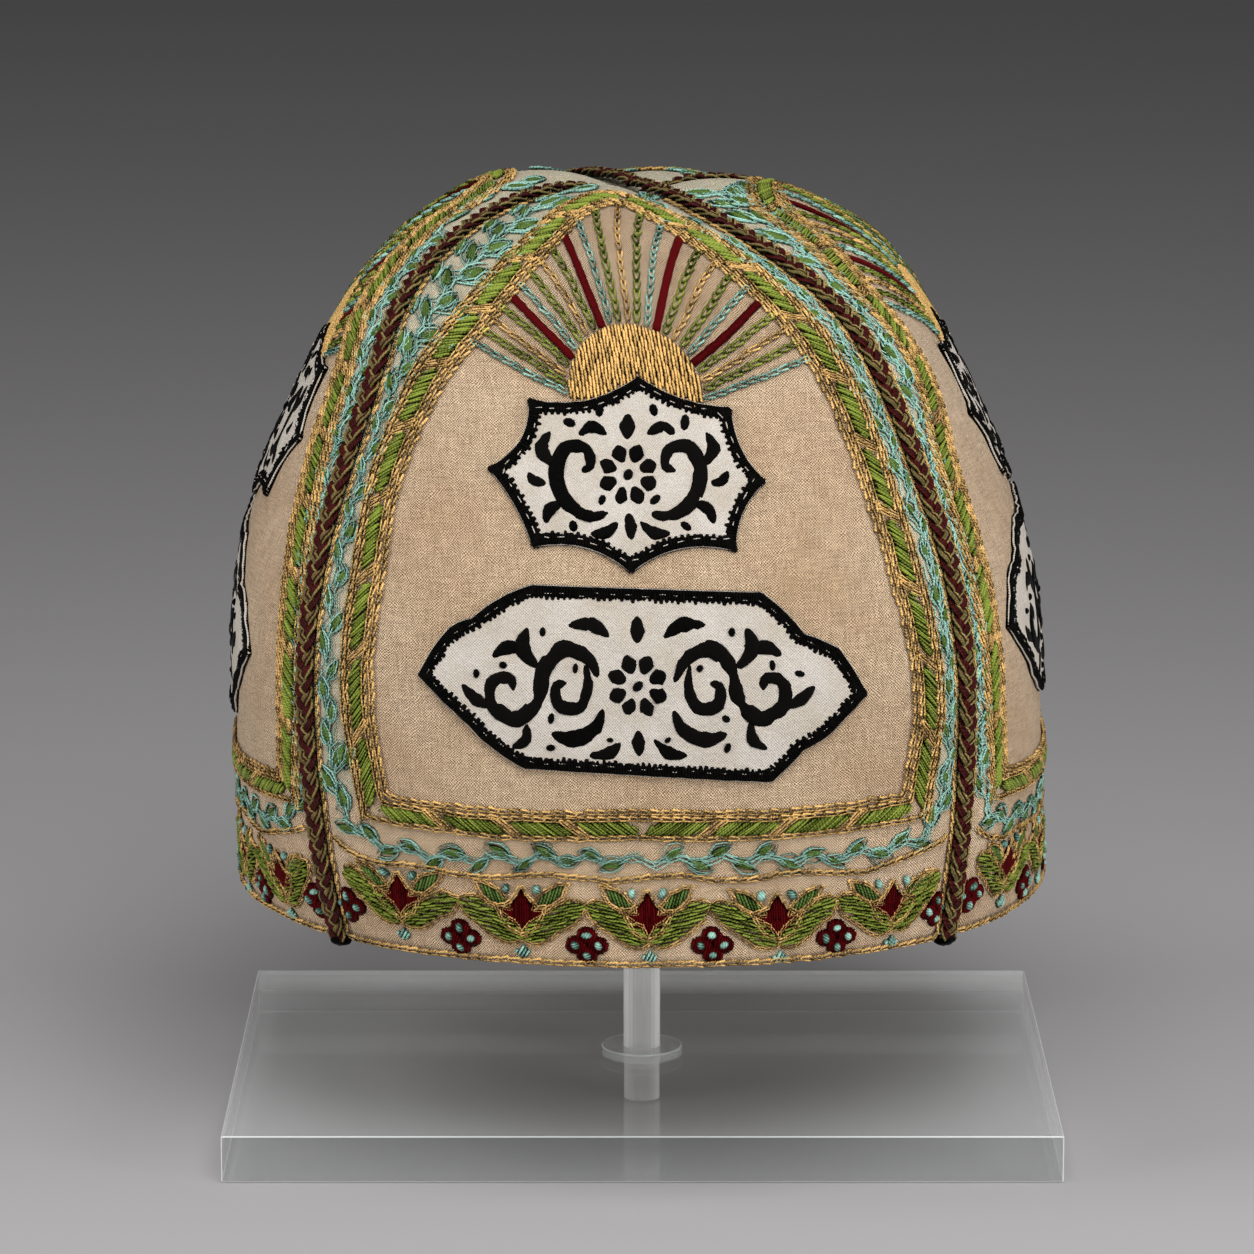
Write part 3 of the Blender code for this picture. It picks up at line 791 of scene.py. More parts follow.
def thread_template(cuts):
    """A straight thread, ridged along its top. It is cut through at these places and dips at its ends."""
    straight = add_alone(bpy.ops.mesh.primitive_cylinder_add, "straight", vertices=3, radius=1.0, depth=1.0)
    bpy.ops.object.mode_set(mode="EDIT")
    for height in cuts:
        bpy.ops.mesh.select_all(action="SELECT")
        bpy.ops.mesh.bisect(plane_co=(0.0, 0.0, height), plane_no=(0.0, 0.0, 1.0))
    bpy.ops.object.mode_set(mode="OBJECT")
    points = read_points(straight.data)
    first = math.atan2(points[0, 1], points[0, 0])
    upright = points[:, 0] * math.cos(first) + points[:, 1] * math.sin(first)
    over = points[:, 1] * math.cos(first) - points[:, 0] * math.sin(first)
    low_ends = 1.0 - 0.55 * (np.abs(points[:, 2]) > 0.49)
    height = (upright + 0.5) / 1.5 * low_ends
    points = np.stack([over / 1.732 * (0.4 + 0.6 * low_ends), points[:, 2] + 0.5, height], axis=1)
    # The thread's height also serves as its painted shade: darker at its feet and where its ends dip into the
    # cloth.
    return template(straight, points, height)


THREAD = thread_template(cuts=(-0.28, 0.28))


def chain(line, lift=0.1, pitch=CHAIN_PITCH, width=CHAIN_WIDTH, height=CHAIN_HEIGHT):
    """A line of chain stitch."""
    posts = walk(line, pitch)
    posts[1:-1] += CHANCE.normal(0.0, CHAIN_WANDER, posts[1:-1].shape)
    ends = posts[:-1] + (posts[1:] - posts[:-1]) * CHAIN_OVERLAP
    return lay(CHAIN_LOOP, posts[:-1], ends, width, height, lift)


SEAM_CHAINS = {LEFT: 2.8, RIGHT: 2.2}
SEAM_CHAIN_TOP = 178.0
HEM_CHAIN_UP = 1.1
HEM_HALF = 66.0
BAND_LINES = (0.0, 1.4, 5.3)
BAND_CENTRE = 3.35
PART_INNER = 1.8
PART_OUTER = 5.0
PART_LINES = (-0.7, 0.6)
PART_LIFT = 0.3
PART_WIDTH = 1.2
LozengeRun = namedtuple("LozengeRun", "part pitch slant gap")
LOZENGE_RUNS = (
    LozengeRun("foot", pitch=13.8, slant=4.4, gap=2.6),
    LozengeRun("side", pitch=15.6, slant=4.0, gap=2.8),
)


def lozenge_rows(panel, inner_distance, outer_distance):
    """For each stretch of the band: its run, how many lozenges fit, their pitch, and its lines."""
    middle, places = border_ring(panel, BAND_CENTRE)
    inner, _ = border_ring(panel, inner_distance)
    outer, _ = border_ring(panel, outer_distance)
    for run in LOZENGE_RUNS:
        for side in (LEFT, RIGHT):
            place = places[run.part, side]
            stations = stations_along(middle[place])
            count = fitted(stations[-1], run.pitch)
            yield run, count, stations[-1] / count, stations, (inner[place], middle[place], outer[place])


for panel in PANELS:
    layers = []
    for side, distance in SEAM_CHAINS.items():
        ups = np.arange(1.0, SEAM_CHAIN_TOP, 2.0)
        layers.append(chain(np.stack([side * (half_width(ups) - distance), ups], axis=1)))
    across = np.arange(-HEM_HALF, HEM_HALF + 0.5, 1.5)
    for ups in (floral_top(across), np.full(across.shape, HEM_CHAIN_UP)):
        layers.append(chain(np.stack([across, ups], axis=1)))
    for distance in BAND_LINES:
        ring, _ = border_ring(panel, distance)
        layers.append(chain(np.concatenate([ring, ring[:1]])))
    ring, places = border_ring(panel, BAND_OUTERMOST)
    layers.append(chain(ring[np.concatenate([places["side", LEFT], places["side", RIGHT][::-1]])]))
    for run, count, pitch, stations, (inner, _, outer) in lozenge_rows(panel, PART_INNER, PART_OUTER):
        for gap in np.arange(1, count) * pitch:
            for step in PART_LINES:
                foot = read_along(outer, stations, gap + step - run.slant * 0.5)
                head = read_along(inner, stations, gap + step + run.slant * 0.5)
                layers.append(chain(np.stack([foot, head]), lift=PART_LIFT, width=PART_WIDTH))
    sew("gold_lines_" + panel.name, layers, panel.quarters, gold_silk, "stitch_gold")


# The green lozenges of the border. Each is a slanted block of satin stitch in leaf green floss.
SATIN_SPACING = 0.74
SATIN_WIDTH = 0.8
SATIN_HEIGHT = 0.85
SATIN_UNEVEN = (0.6, 1.12)
SATIN_LIFTS = (0.0, 0.5)
ROW_WANDER = 0.13
SLANT_WANDER = 0.35
LOZENGE_HALF = 1.6
green_silk = silk("leaf_green_silk_floss", "#0C1301", "#8F9D42", roughness=0.4, shine=0.35)
GREEN_LAYERS = {}


def satin_stitches(starts, ends):
    """Satin stitches, each a little wider, narrower, higher or lower than its neighbour."""
    count = len(starts)
    widths = SATIN_WIDTH * CHANCE.uniform(*SATIN_UNEVEN, (count, 1))
    flat, faces, thread = lay(THREAD, starts, ends, widths, SATIN_HEIGHT, 0.05)
    flat[:, 2] += np.repeat(CHANCE.uniform(*SATIN_LIFTS, count), len(THREAD[0]))
    return flat, faces, thread


for panel in PANELS:
    starts = []
    ends = []
    rows = lozenge_rows(panel, BAND_CENTRE - LOZENGE_HALF, BAND_CENTRE + LOZENGE_HALF)
    for run, count, pitch, stations, (inner, middle, outer) in rows:
        length = pitch - run.gap
        for first in np.arange(count) * pitch + run.gap / 2.0:
            share = np.arange(0.03, 1.0, SATIN_SPACING / length)
            along = first + share * length + CHANCE.normal(0.0, ROW_WANDER, share.shape)
            reach = np.minimum(np.sin(math.pi * share) * 2.6, 1.0) ** 0.6
            reach *= CHANCE.uniform(0.88, 1.08, share.shape)
            slant = run.slant * reach + CHANCE.normal(0.0, SLANT_WANDER, share.shape)
            half = slant / 2.0
            for edge, places, found in ((outer, along - half, starts), (inner, along + half, ends)):
                centre = read_along(middle, stations, places)
                found.append(centre + (read_along(edge, stations, places) - centre) * reach[:, None])
    GREEN_LAYERS[panel.name] = [satin_stitches(np.concatenate(starts), np.concatenate(ends))]


# The vine between the band and the outer line. Dark green leaves of satin stitch stand either side of it.
# Thin strands of turquoise floss hold each of them, and five more wander from leaf to leaf as the stem.
LEAF_PITCH = 4.7
LEAF_LENGTH = 4.3
LEAF_HALF = 0.95
LEAF_TURN = 24.0
LEAF_TURN_WANDER = 9.0
LEAF_THREAD_HEIGHT = 0.75
LEAF_STRAND_HEIGHT = 0.55
LEAF_THREADS = (-0.78, -0.28, 0.28, 0.78)
LEAF_ROW_ROOM = 8.0
LEAF_ROOM = 6.6
LEAF_STRANDS = ((1.0, 0.5), (1.0, 1.1), (-1.0, 0.5), (-1.0, 1.1))
VINE_UP = 22.6
VINE_CORNER = 30.0
VINE_TOPS = np.array((167.0, 174.0))
VINE_TOP_SHARE = 0.52
VINE_FROM_SEAM = 3.4
VINE_STEP = 1.3
STEM_STRANDS = 5
STRAND_WIDTH = 0.3
STRAND_HEIGHT = 0.36
STEM_FOOT_SPREAD = 0.32
STEM_SIDE_SPREAD = 0.8
STEM_WAVE = 0.9
STEM_WANDER = 0.7
turquoise_silk = silk("turquoise_silk_floss", "#183A30", "#A6D4C4", roughness=0.4, shine=0.35)
dark_green_silk = silk("dark_green_silk_floss", "#081203", "#607A3C", roughness=0.42, shine=0.35)
STRAND = thread_template(cuts=(-0.3, 0.0, 0.3))


def vine_path(panel, side):
    """The vine's line from the foot's middle out to the corner and up to the crown."""
    ups = np.arange(34.0, 160.0, 9.0)
    distance = (border_distance(panel, side, ups) - BAND_OUTERMOST * 1.1 + SEAM_CHAINS[side]) / 2.0
    climb = list(zip(side * (half_width(ups) - np.maximum(distance, VINE_FROM_SEAM)), ups))
    low = climb[0][0]
    foot = [(BORDER_MIDDLE, VINE_UP), (low * 0.35, VINE_UP + 0.4), (low * 0.7, VINE_UP),
            (low * 0.93, VINE_UP + 3.0)]
    top = list(zip(side * half_width(VINE_TOPS) * VINE_TOP_SHARE, VINE_TOPS))
    return smooth_line(foot + climb + top, VINE_STEP)


def turned(direction, degrees):
    angle = np.radians(degrees)
    x = direction[:, 0] * np.cos(angle) - direction[:, 1] * np.sin(angle)
    y = direction[:, 0] * np.sin(angle) + direction[:, 1] * np.cos(angle)
    return np.stack([x, y], axis=1)


def leaves_with_strands(base, direction, size):
    """Satin leaves of four threads each, and the turquoise strands that hold them."""
    across = turned(direction, -90.0)
    half = LEAF_HALF * size
    tip = base + direction * LEAF_LENGTH * size
    satin = []
    strands = []
    for share in LEAF_THREADS:
        short = direction * (0.9 * share * share)
        wide = across * half * share
        satin.append(lay(THREAD, base + short + wide, tip - short + wide * 0.4, half * 0.75,
                         LEAF_THREAD_HEIGHT, 0.1))
    root = base - direction * 0.9
    for bend, reach in LEAF_STRANDS:
        bow = bend * (half + 0.2 + 0.25 * reach) * CHANCE.uniform(0.5, 1.6, size.shape)
        end = tip + direction * reach + across * bend * CHANCE.uniform(-0.8, 0.8, size.shape)
        strands.append(lay(STRAND, root, end, STRAND_WIDTH, LEAF_STRAND_HEIGHT, 0.1 + 0.15 * reach, bow=bow))
    return satin, strands


TURQUOISE_LAYERS = {}
DARK_LAYERS = {}
for panel in PANELS:
    strands = []
    leaves = []
    for side in (LEFT, RIGHT):
        path = vine_path(panel, side)
        stations = stations_along(path)
        spread = np.where(path[:, 1] < VINE_CORNER, STEM_FOOT_SPREAD, STEM_SIDE_SPREAD)
        for number in range(STEM_STRANDS):
            wave = STEM_WAVE * np.sin(stations / LEAF_PITCH * math.pi + CHANCE.uniform(-0.5, 0.5))
            wander = CHANCE.normal(0.0, STEM_WANDER, wave.shape)
            wave += (number - STEM_STRANDS // 2) * spread + wander * spread
            line = beside(path, wave[:, None])
            strands.append(sweep(line, STRAND_WIDTH, STRAND_HEIGHT, 3, 0.1 + 0.08 * number))
        posts = walk(path, LEAF_PITCH)[1:]
        ahead = unit(np.gradient(posts, axis=0))
        hand = np.where(np.arange(len(posts)) % 2 == 0, 1.0, -1.0)
        from_stem = turned(ahead, hand * 90.0)
        direction = turned(ahead, hand * (LEAF_TURN + CHANCE.normal(0.0, LEAF_TURN_WANDER, len(posts))))
        room = border_distance(panel, side, posts[:, 1]) - BAND_OUTERMOST * 1.1 - SEAM_CHAINS[LEFT]
        room = np.where(posts[:, 1] < VINE_CORNER, LEAF_ROOM, np.clip(room, 4.4, 12.0))[:, None]
        size = np.clip(room / LEAF_ROOM, 0.9, 1.3) * CHANCE.uniform(0.8, 1.1, room.shape)
        everywhere = np.ones(len(posts), bool)
        for offset, chosen in ((0.5, everywhere), (room * 0.36, room[:, 0] > LEAF_ROW_ROOM)):
            base = (posts + from_stem * offset)[chosen]
            satin, held = leaves_with_strands(base, direction[chosen], size[chosen])
            leaves += satin
            strands += held
            root = (posts - ahead * 2.0)[chosen]
            strands.append(lay(STRAND, root, base + direction[chosen], STRAND_WIDTH, LEAF_STRAND_HEIGHT, 0.2))
    TURQUOISE_LAYERS[panel.name] = strands
    DARK_LAYERS[panel.name] = leaves


# The half sun over the star patch, in gold thread laid side by side and couched down, and twenty-five rays.
# The rays are lines of chain stitch, in turn gold, green and turquoise, with a maroon satin bar after three.
SUN_PLACE = (1.7, 118.5)
SUN_RADIUS = 14.0
SUN_SPACING = 0.74
SUN_STITCH = 2.2
SUN_PAINTED_HIGHLIGHT = 0.07
SUN_SLANT = 93.0
SUN_WANDER = 0.09
SUN_THREAD = (0.98, 0.9, 0.1)
SUN_ARC = np.radians(np.arange(-16.0, 197.0, 4.0))
RAYS_EACH_SIDE = 12
RAY_FIRST = 2.0
RAY_TURN = 7.9
LEAN_FIRST = 5.0
RAY_LEAN = 5.3
RAY_GAP = 0.3
RAY_WIDTHS = {"gold": 1.65, "green": 2.0, "turquoise": 1.8, "maroon": 1.9}
RAY_WANDER = 0.25
BAR_UNEVEN = 0.12
BAR_HEIGHT = 0.7
BAR_SIDES = 6
RAY_STEP = 0.5
RAY_SHORTEST = 3.0
RAY_LONGEST = 32.0
RAY_COLOURS = ("gold", "green", "turquoise", "maroon", "green", "gold", "green", "turquoise", "maroon",
               "green", "gold", "green", "turquoise")
maroon_silk = silk("maroon_silk_floss", "#160102", "#4E080B", roughness=0.5, ply_depth=0.2, shine=0.25)

# The corners of the two patches: across, up, and how far the edge from there to the next corner bows out.
STAR_CORNERS = (
    (2.7, 121.5, -1.4), (21.5, 115.0, -1.7), (28.1, 99.5, -1.7), (21.7, 85.3, -2.7), (-0.4, 80.9, -2.6),
    (-20.8, 86.0, -1.0), (-29.4, 102.1, -2.6), (-20.8, 116.8, -2.6),
)
LONG_CORNERS = (
    (-44.5, 59.8, 0.5), (-37.9, 69.8, 0.3), (-33.5, 71.7, 0.8), (-21.3, 78.6, 0.0), (26.5, 77.1, 0.5),
    (35.0, 68.7, 0.2), (42.0, 65.4, 0.2), (47.6, 55.9, 0.0), (39.7, 48.0, 0.2), (34.4, 45.0, 0.2),
    (28.1, 38.7, 0.0), (-23.3, 41.6, 0.8), (-34.6, 50.2, 0.2),
)


def patch_outline(corners, shift, step):
    """A patch's outline, clockwise, each edge bowed out."""
    line = []
    places = np.array([corner[:2] for corner in corners]) + shift
    for start, following, (_, _, bow) in zip(places, np.roll(places, -1, axis=0), corners):
        edge = following - start
        length = math.hypot(*edge)
        out = np.array([-edge[1], edge[0]]) / length
        count = fitted(length, step)
        shares = np.arange(count) / count
        bows = bow * 4.0 * shares * (1.0 - shares)
        line.append(start + edge * shares[:, None] + out * bows[:, None])
    return np.concatenate(line)


def fill_threads(outline, angle, spacing, longest):
    """Straight stitches that fill an outline in rows at this angle. Long rows are split, brick-like."""
    cosine = math.cos(math.radians(angle))
    sine = math.sin(math.radians(angle))
    back = np.array([[cosine, sine], [-sine, cosine]])
    local = np.asarray(outline, float) @ back.T
    following = np.roll(local, -1, axis=0)
    starts = []
    ends = []
    rows = np.arange(local[:, 1].min() + spacing * 0.4, local[:, 1].max(), spacing)
    for number, row in enumerate(rows):
        crossed = (local[:, 1] > row) != (following[:, 1] > row)
        one = local[crossed]
        other = following[crossed]
        across = (row - one[:, 1]) / (other[:, 1] - one[:, 1])
        meets = np.sort(one[:, 0] + across * (other[:, 0] - one[:, 0]))
        for low, high in zip(meets[::2], meets[1::2]):
            grid = np.arange(math.floor(low / longest) - 1, math.ceil(high / longest) + 1) * longest
            grid = grid + (number % 2) * longest * 0.5 + CHANCE.normal(0.0, longest * 0.06, grid.shape)
            cuts = grid[(grid > low + longest * 0.3) & (grid < high - longest * 0.3)]
            places = np.concatenate([[low], cuts, [high]])
            for begin, end in zip(places[:-1], places[1:]):
                starts.append((begin - 0.25, row))
                ends.append((end + 0.25, row))
    return np.array(starts) @ back, np.array(ends) @ back


def jittered(starts, ends, most):
    """The same stitches, each end moved a little by chance."""
    return starts + CHANCE.normal(0.0, most, starts.shape), ends + CHANCE.normal(0.0, most, ends.shape)


GOLD_LAYERS = {}
MAROON_LAYERS = {}
for panel in PANELS:
    shift = np.array((panel.star_across, panel.star_up))
    centre = np.array(SUN_PLACE) + shift
    star = patch_outline(STAR_CORNERS, shift, 1.5)
    disc = centre + SUN_RADIUS * np.stack([np.cos(SUN_ARC), np.sin(SUN_ARC)], axis=1)
    starts, ends = fill_threads(disc, SUN_SLANT, SUN_SPACING, SUN_STITCH)
    seen = ~inside((starts + ends) / 2.0, star)
    starts, ends = jittered(starts, ends, SUN_WANDER)
    flat, faces, thread = lay(THREAD, starts[seen], ends[seen], *SUN_THREAD)
    # The sun's threads are painted lighter: a painted highlight for the light they catch.
    thread[:, 2] += SUN_PAINTED_HIGHLIGHT
    GOLD_LAYERS[panel.name] = [(flat, faces, thread)]
    MAROON_LAYERS[panel.name] = []
    field, _ = border_ring(panel, 0.0)
    targets = {"gold": GOLD_LAYERS, "green": GREEN_LAYERS, "turquoise": TURQUOISE_LAYERS}
    for number in range(-RAYS_EACH_SIDE, RAYS_EACH_SIDE + 1):
        place = math.radians(RAY_FIRST + RAY_TURN * number)
        lean = math.radians(LEAN_FIRST + RAY_LEAN * number)
        start = centre + (SUN_RADIUS + RAY_GAP) * np.array((math.sin(place), math.cos(place)))
        ahead = np.array((math.sin(lean), math.cos(lean)))
        marks = start + np.arange(0.0, RAY_LONGEST, RAY_STEP)[:, None] * ahead
        free = inside(marks, field) & ~inside(marks, star)
        stop = len(free) if free.all() else int(np.argmin(free))
        length = stop * RAY_STEP - RAY_GAP
        if length < RAY_SHORTEST:
            continue
        wobble = CHANCE.normal(0.0, RAY_WANDER, 2)
        line = smooth_line([start, start + ahead * length * 0.5 + wobble, start + ahead * length], 1.0)
        colour = RAY_COLOURS[abs(number)]
        width = RAY_WIDTHS[colour]
        if colour == "maroon":
            widths = width + CHANCE.normal(0.0, BAR_UNEVEN, len(line))
            MAROON_LAYERS[panel.name].append(sweep(line, widths, BAR_HEIGHT, BAR_SIDES, 0.05))
        else:
            targets[colour][panel.name].append(chain(line, width=width))


# The row of flowers over the hem. A garland of green half-leaves waves over quatrefoils and under tulips.
# Maroon satin fills the flowers, gold chain outlines them, and knots of turquoise dot them.
TULIPS = ((-50.8, 13.0), (-24.7, 11.8), (1.5, 11.3), (28.4, 10.4), (53.4, 10.9))
QUATREFOILS = ((-64.0, 8.6), (-37.9, 5.2), (-11.4, 4.9), (14.5, 4.9), (40.8, 4.9), (65.0, 7.4))
TULIP = ((0.0, -4.4), (2.5, -3.1), (3.5, -1.5), (4.5, 0.5), (2.7, 0.6), (1.5, 2.0), (0.0, 4.6), (-1.5, 2.0),
         (-2.7, 0.6), (-4.5, 0.5), (-3.5, -1.5), (-2.5, -3.1))
TULIP_BASE = -4.1
LEAF_ENDS = ((3.2, 4.9), (8.6, 9.3))
RIM_ENDS = ((2.4, 4.3), (9.6, 10.0))
LEAF_ENDS_HALF = 1.15
RIM_ENDS_HALF = 1.75
LEAF_KNOT = ((3.2, 8.6),)
LEAF_KNOT_SIZE = 2.2
LOBE_KNOT_SIZE = 1.85
LOBE_KNOT_OUT = 1.05
STALK = ((5.0, 2.0), (0.0, -1.9))
DIAMOND = ((1.45, -4.7), (0.0, -3.25), (-1.45, -4.7), (0.0, -6.15))
LOBES = ((2.3, 0.0), (-2.3, 0.0), (0.0, 2.0), (0.0, -2.0))
LOBE_SIZE = (2.0, 1.7)
LOBE_ARC = np.radians(np.arange(0.0, 360.0, 30.0))
VALLEY_DROP = 5.6
PEAK_RISE = 8.2
GARLAND_HALF = 2.0
GARLAND_POINTS = 15
GARLAND_STRAIGHT = 0.35
GARLAND_SLANT = 0.45
GARLAND_SPACING = 0.66
GARLAND_STITCH = 2.2
GARLAND_WANDER = 0.14
OUTLINE_GAP = 0.55
# How threads fill a form: the angle of their rows, how far apart they lie, and their width, height and lift.
Fill = namedtuple("Fill", "angle spacing width height lift longest", defaults=(9.0,))
TULIP_FILL = Fill(90.0, 0.5, 0.9, 0.6, 0.1)
LEAF_FILL = Fill(90.0, 0.6, 0.85, 0.7, 0.05)
LEAF_FILL_TURN = 20.0
DIAMOND_FILL = Fill(60.0, 0.7, 0.85, 0.9, 0.1, longest=5.0)
LOBE_FILL = Fill(75.0, 0.55, 1.0, 0.7, 0.15)
ball = add_alone(bpy.ops.mesh.primitive_uv_sphere_add, "ball", segments=8, ring_count=5, radius=0.5)
points = read_points(ball.data)
points[:, 1] += 0.5
points[:, 2] = np.maximum(points[:, 2] * 2.0, -0.2)
# The knot's height also serves as its painted shade: lighter on top, darker low down.
KNOT = template(ball, points, points[:, 2] * 0.7)


def knot(place, size, height=0.9, lift=0.3):
    """A small knot of floss, hardly ever quite round."""
    place = np.asarray(place, float)
    angle = CHANCE.uniform(0.0, math.pi)
    half = np.array((math.cos(angle), math.sin(angle))) * size * CHANCE.uniform(0.5, 0.68)
    return lay(KNOT, place - half, place + half, size * CHANCE.uniform(0.72, 0.92), height, lift)


def closed(outline):
    return np.concatenate([outline, outline[:1]])


def leaf_outline(start, end, half):
    """Outline of a slender leaf from start to end."""
    start = np.asarray(start, float)
    run = np.asarray(end, float) - start
    shares = np.linspace(0.0, 1.0, 9)[:, None]
    spread = half * np.sin(math.pi * shares) ** 0.8
    aside = np.array((run[1], -run[0])) / math.hypot(*run)
    one = start + run * shares + aside * spread
    other = start + run * shares - aside * spread
    return np.concatenate([one, other[-2:0:-1]])


def outline_of(line, halves):
    one = beside(line, halves[:, None])
    other = beside(line, -halves[:, None])
    return np.concatenate([one, other[::-1]])


def filled(outline, fill, turn=0.0):
    """An outline filled with straight satin stitches."""
    starts, ends = fill_threads(outline, fill.angle + turn, fill.spacing, fill.longest)
    return lay(THREAD, starts, ends, fill.width, fill.height, fill.lift)


def set_off(places, across, up, sign=1.0):
    """Places given from a flower's middle, mirrored by the sign."""
    return np.array(places) * (sign, 1.0) + (across, up)


for panel in PANELS:
    gold = GOLD_LAYERS[panel.name]
    green = GREEN_LAYERS[panel.name]
    dark = DARK_LAYERS[panel.name]
    maroon = MAROON_LAYERS[panel.name]
    turquoise = TURQUOISE_LAYERS[panel.name]
    valleys = [(across, up - VALLEY_DROP) for across, up in TULIPS]
    peaks = [(across, up + PEAK_RISE) for across, up in QUATREFOILS]
    turning = [point for pair in zip(peaks, valleys) for point in pair] + [peaks[-1]]
    for start, end in zip(turning[:-1], turning[1:]):
        shares = np.linspace(0.0, 1.0, GARLAND_POINTS)
        climb = shares * GARLAND_STRAIGHT + (1.0 - GARLAND_STRAIGHT) * smooth_step(shares)
        across = start[0] + (end[0] - start[0]) * shares
        up = start[1] + (end[1] - start[1]) * climb
        line = np.stack([across, up], axis=1)
        halves = GARLAND_HALF * np.minimum(np.maximum(np.sin(math.pi * shares), 0.0) * 1.6, 1.0) ** 0.7
        tilt = math.degrees(math.atan2(end[1] - start[1], end[0] - start[0]))
        starts, ends = fill_threads(outline_of(line, halves), tilt * GARLAND_SLANT, GARLAND_SPACING,
                                    GARLAND_STITCH)
        green.append(satin_stitches(*jittered(starts, ends, GARLAND_WANDER)))
        for sign in (1.0, -1.0):
            gold.append(chain(beside(line, sign * (halves[:, None] + OUTLINE_GAP)), **FINE_CHAIN))
    for across, up in TULIPS:
        flower = set_off(TULIP, across, up)
        maroon.append(filled(flower, TULIP_FILL))
        gold.append(chain(closed(offset_line(flower[::-1], OUTLINE_GAP)), lift=0.5, **FINE_CHAIN))
        base = up + TULIP_BASE
        for sign in (1.0, -1.0):
            leaf = leaf_outline(*set_off(LEAF_ENDS, across, base, sign), LEAF_ENDS_HALF)
            dark.append(filled(leaf, LEAF_FILL, turn=-sign * LEAF_FILL_TURN))
            rim = leaf_outline(*set_off(RIM_ENDS, across, base, sign), RIM_ENDS_HALF)
            gold.append(chain(closed(rim), **FINE_CHAIN))
            turquoise.append(knot(set_off(LEAF_KNOT, across, base, sign)[0], LEAF_KNOT_SIZE))
            gold.append(chain(set_off(STALK, across, base, sign), **FINE_CHAIN))
        turquoise.append(filled(set_off(DIAMOND, across, base), DIAMOND_FILL))
    for across, up in QUATREFOILS:
        for lobe in LOBES:
            place = set_off([lobe], across, up)[0]
            circle = np.stack([np.cos(LOBE_ARC), np.sin(LOBE_ARC)], axis=1) * LOBE_SIZE + place
            maroon.append(filled(circle, LOBE_FILL))
            turquoise.append(knot(np.array(lobe) * LOBE_KNOT_OUT + (across, up), LOBE_KNOT_SIZE, lift=0.5))
    for name, layers, material, slot in (
        ("gold_flowers_and_sun_", gold, gold_silk, "stitch_gold"),
        ("green_satin_", green, green_silk, "stitch_green"),
        ("dark_leaves_", dark, dark_green_silk, "stitch_dark_green"),
        ("turquoise_vine_", turquoise, turquoise_silk, "stitch_turquoise"),
        ("maroon_flowers_", maroon, maroon_silk, "stitch_maroon"),
    ):
        sew(name + panel.name, layers, panel.quarters, material, slot)


# The white cotton patches. They are cut from soft calico, laid on the linen and held down round their edge.
PATCH_THICKNESS = 0.55
PATCH_GAP = 0.25
PATCH_STEP = 1.6
PATCH_GRID = 2.0
PATCH_TOP = PATCH_GAP + PATCH_THICKNESS
CREASE = 0.3
COTTON_SPACING = 0.6
COTTON_SHIFT = 31.0
cotton, tree, shader = start_material("soft_white_calico", "#E4DFD6", Roughness=0.9, Sheen_Weight=0.1,
                                      Specular_IOR_Level=0.25)
place = add_node(tree, "Attribute", attribute_name="flat").outputs["Vector"]
weave = plain_weave(tree, place, COTTON_SPACING)
fluff = add_node(tree, "TexNoise", {"Vector": place, "Scale": 0.9, "Detail": 5.0})
cloth = add_node(tree, "Math", {0: weave, 1: 0.25, 2: fluff}, operation="MULTIPLY_ADD")
soiled = mottle(tree, place, linear("#C9C3BC"), "#B3A896", (0.4, 0.75), most=0.8, blend="MIX", Scale=0.09,
                Detail=4.0)
woven = add_node(tree, "Mix", {0: cloth, 6: linear("#A99B86"), 7: soiled}, data_type="RGBA")
threaded = add_node(tree, "Mix", {0: 0.45, 6: soiled, 7: woven}, data_type="RGBA")
bump = add_node(tree, "Bump", {"Strength": 0.8, "Distance": 0.0004, "Height": cloth})
set_inputs(tree, shader, {"Base Color": threaded, "Normal": bump})


def patch_top(across, up):
    """Height of a patch's face, with its soft creases."""
    return PATCH_TOP + CREASE * swell(2, across * 1.6, up * 0.7, 3.0)


def patch_sheet(name, outline, panel, node):
    """One patch, cut to its outline."""
    rows = np.arange(outline[:, 1].min(), outline[:, 1].max(), PATCH_GRID)
    columns = np.arange(outline[:, 0].min(), outline[:, 0].max(), PATCH_GRID)
    grid = np.stack(np.meshgrid(columns, rows), axis=-1).reshape(-1, 2)
    grid = grid[inside(grid, offset_line(outline, -PATCH_GRID * 0.6))]
    places = np.concatenate([outline, grid])
    count = len(outline)
    edges = [(number, (number + 1) % count) for number in range(count)]
    found = delaunay_2d_cdt([Vector(place) for place in places], edges, [], 1, 1e-4)
    flat = np.array([tuple(place) for place in found[0]])
    faces = [tuple(face) for face in found[2]]
    flat = np.column_stack([flat, patch_top(flat[:, 0], flat[:, 1])])
    piece = link_piece(name, wrap(flat, panel.quarters), faces)
    mesh = piece.data
    store(mesh, "flat", flat + (panel.quarters * COTTON_SHIFT, 0.0, 0.0))
    thicken(piece, PATCH_THICKNESS * MM)
    put_on(piece, cotton, "patch_cotton")
    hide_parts(node)


PATCHES = []
for panel in PANELS:
    for kind, corners, shift in (
        ("star", STAR_CORNERS, (panel.star_across, panel.star_up)),
        ("long", LONG_CORNERS, (panel.long_across, panel.long_up)),
    ):
        outline = patch_outline(corners, np.array(shift), PATCH_STEP)
        patch_sheet(kind + "_cotton_" + panel.name, outline, panel, kind + "_patch_" + panel.name)
        PATCHES.append((panel, kind, outline, shift))


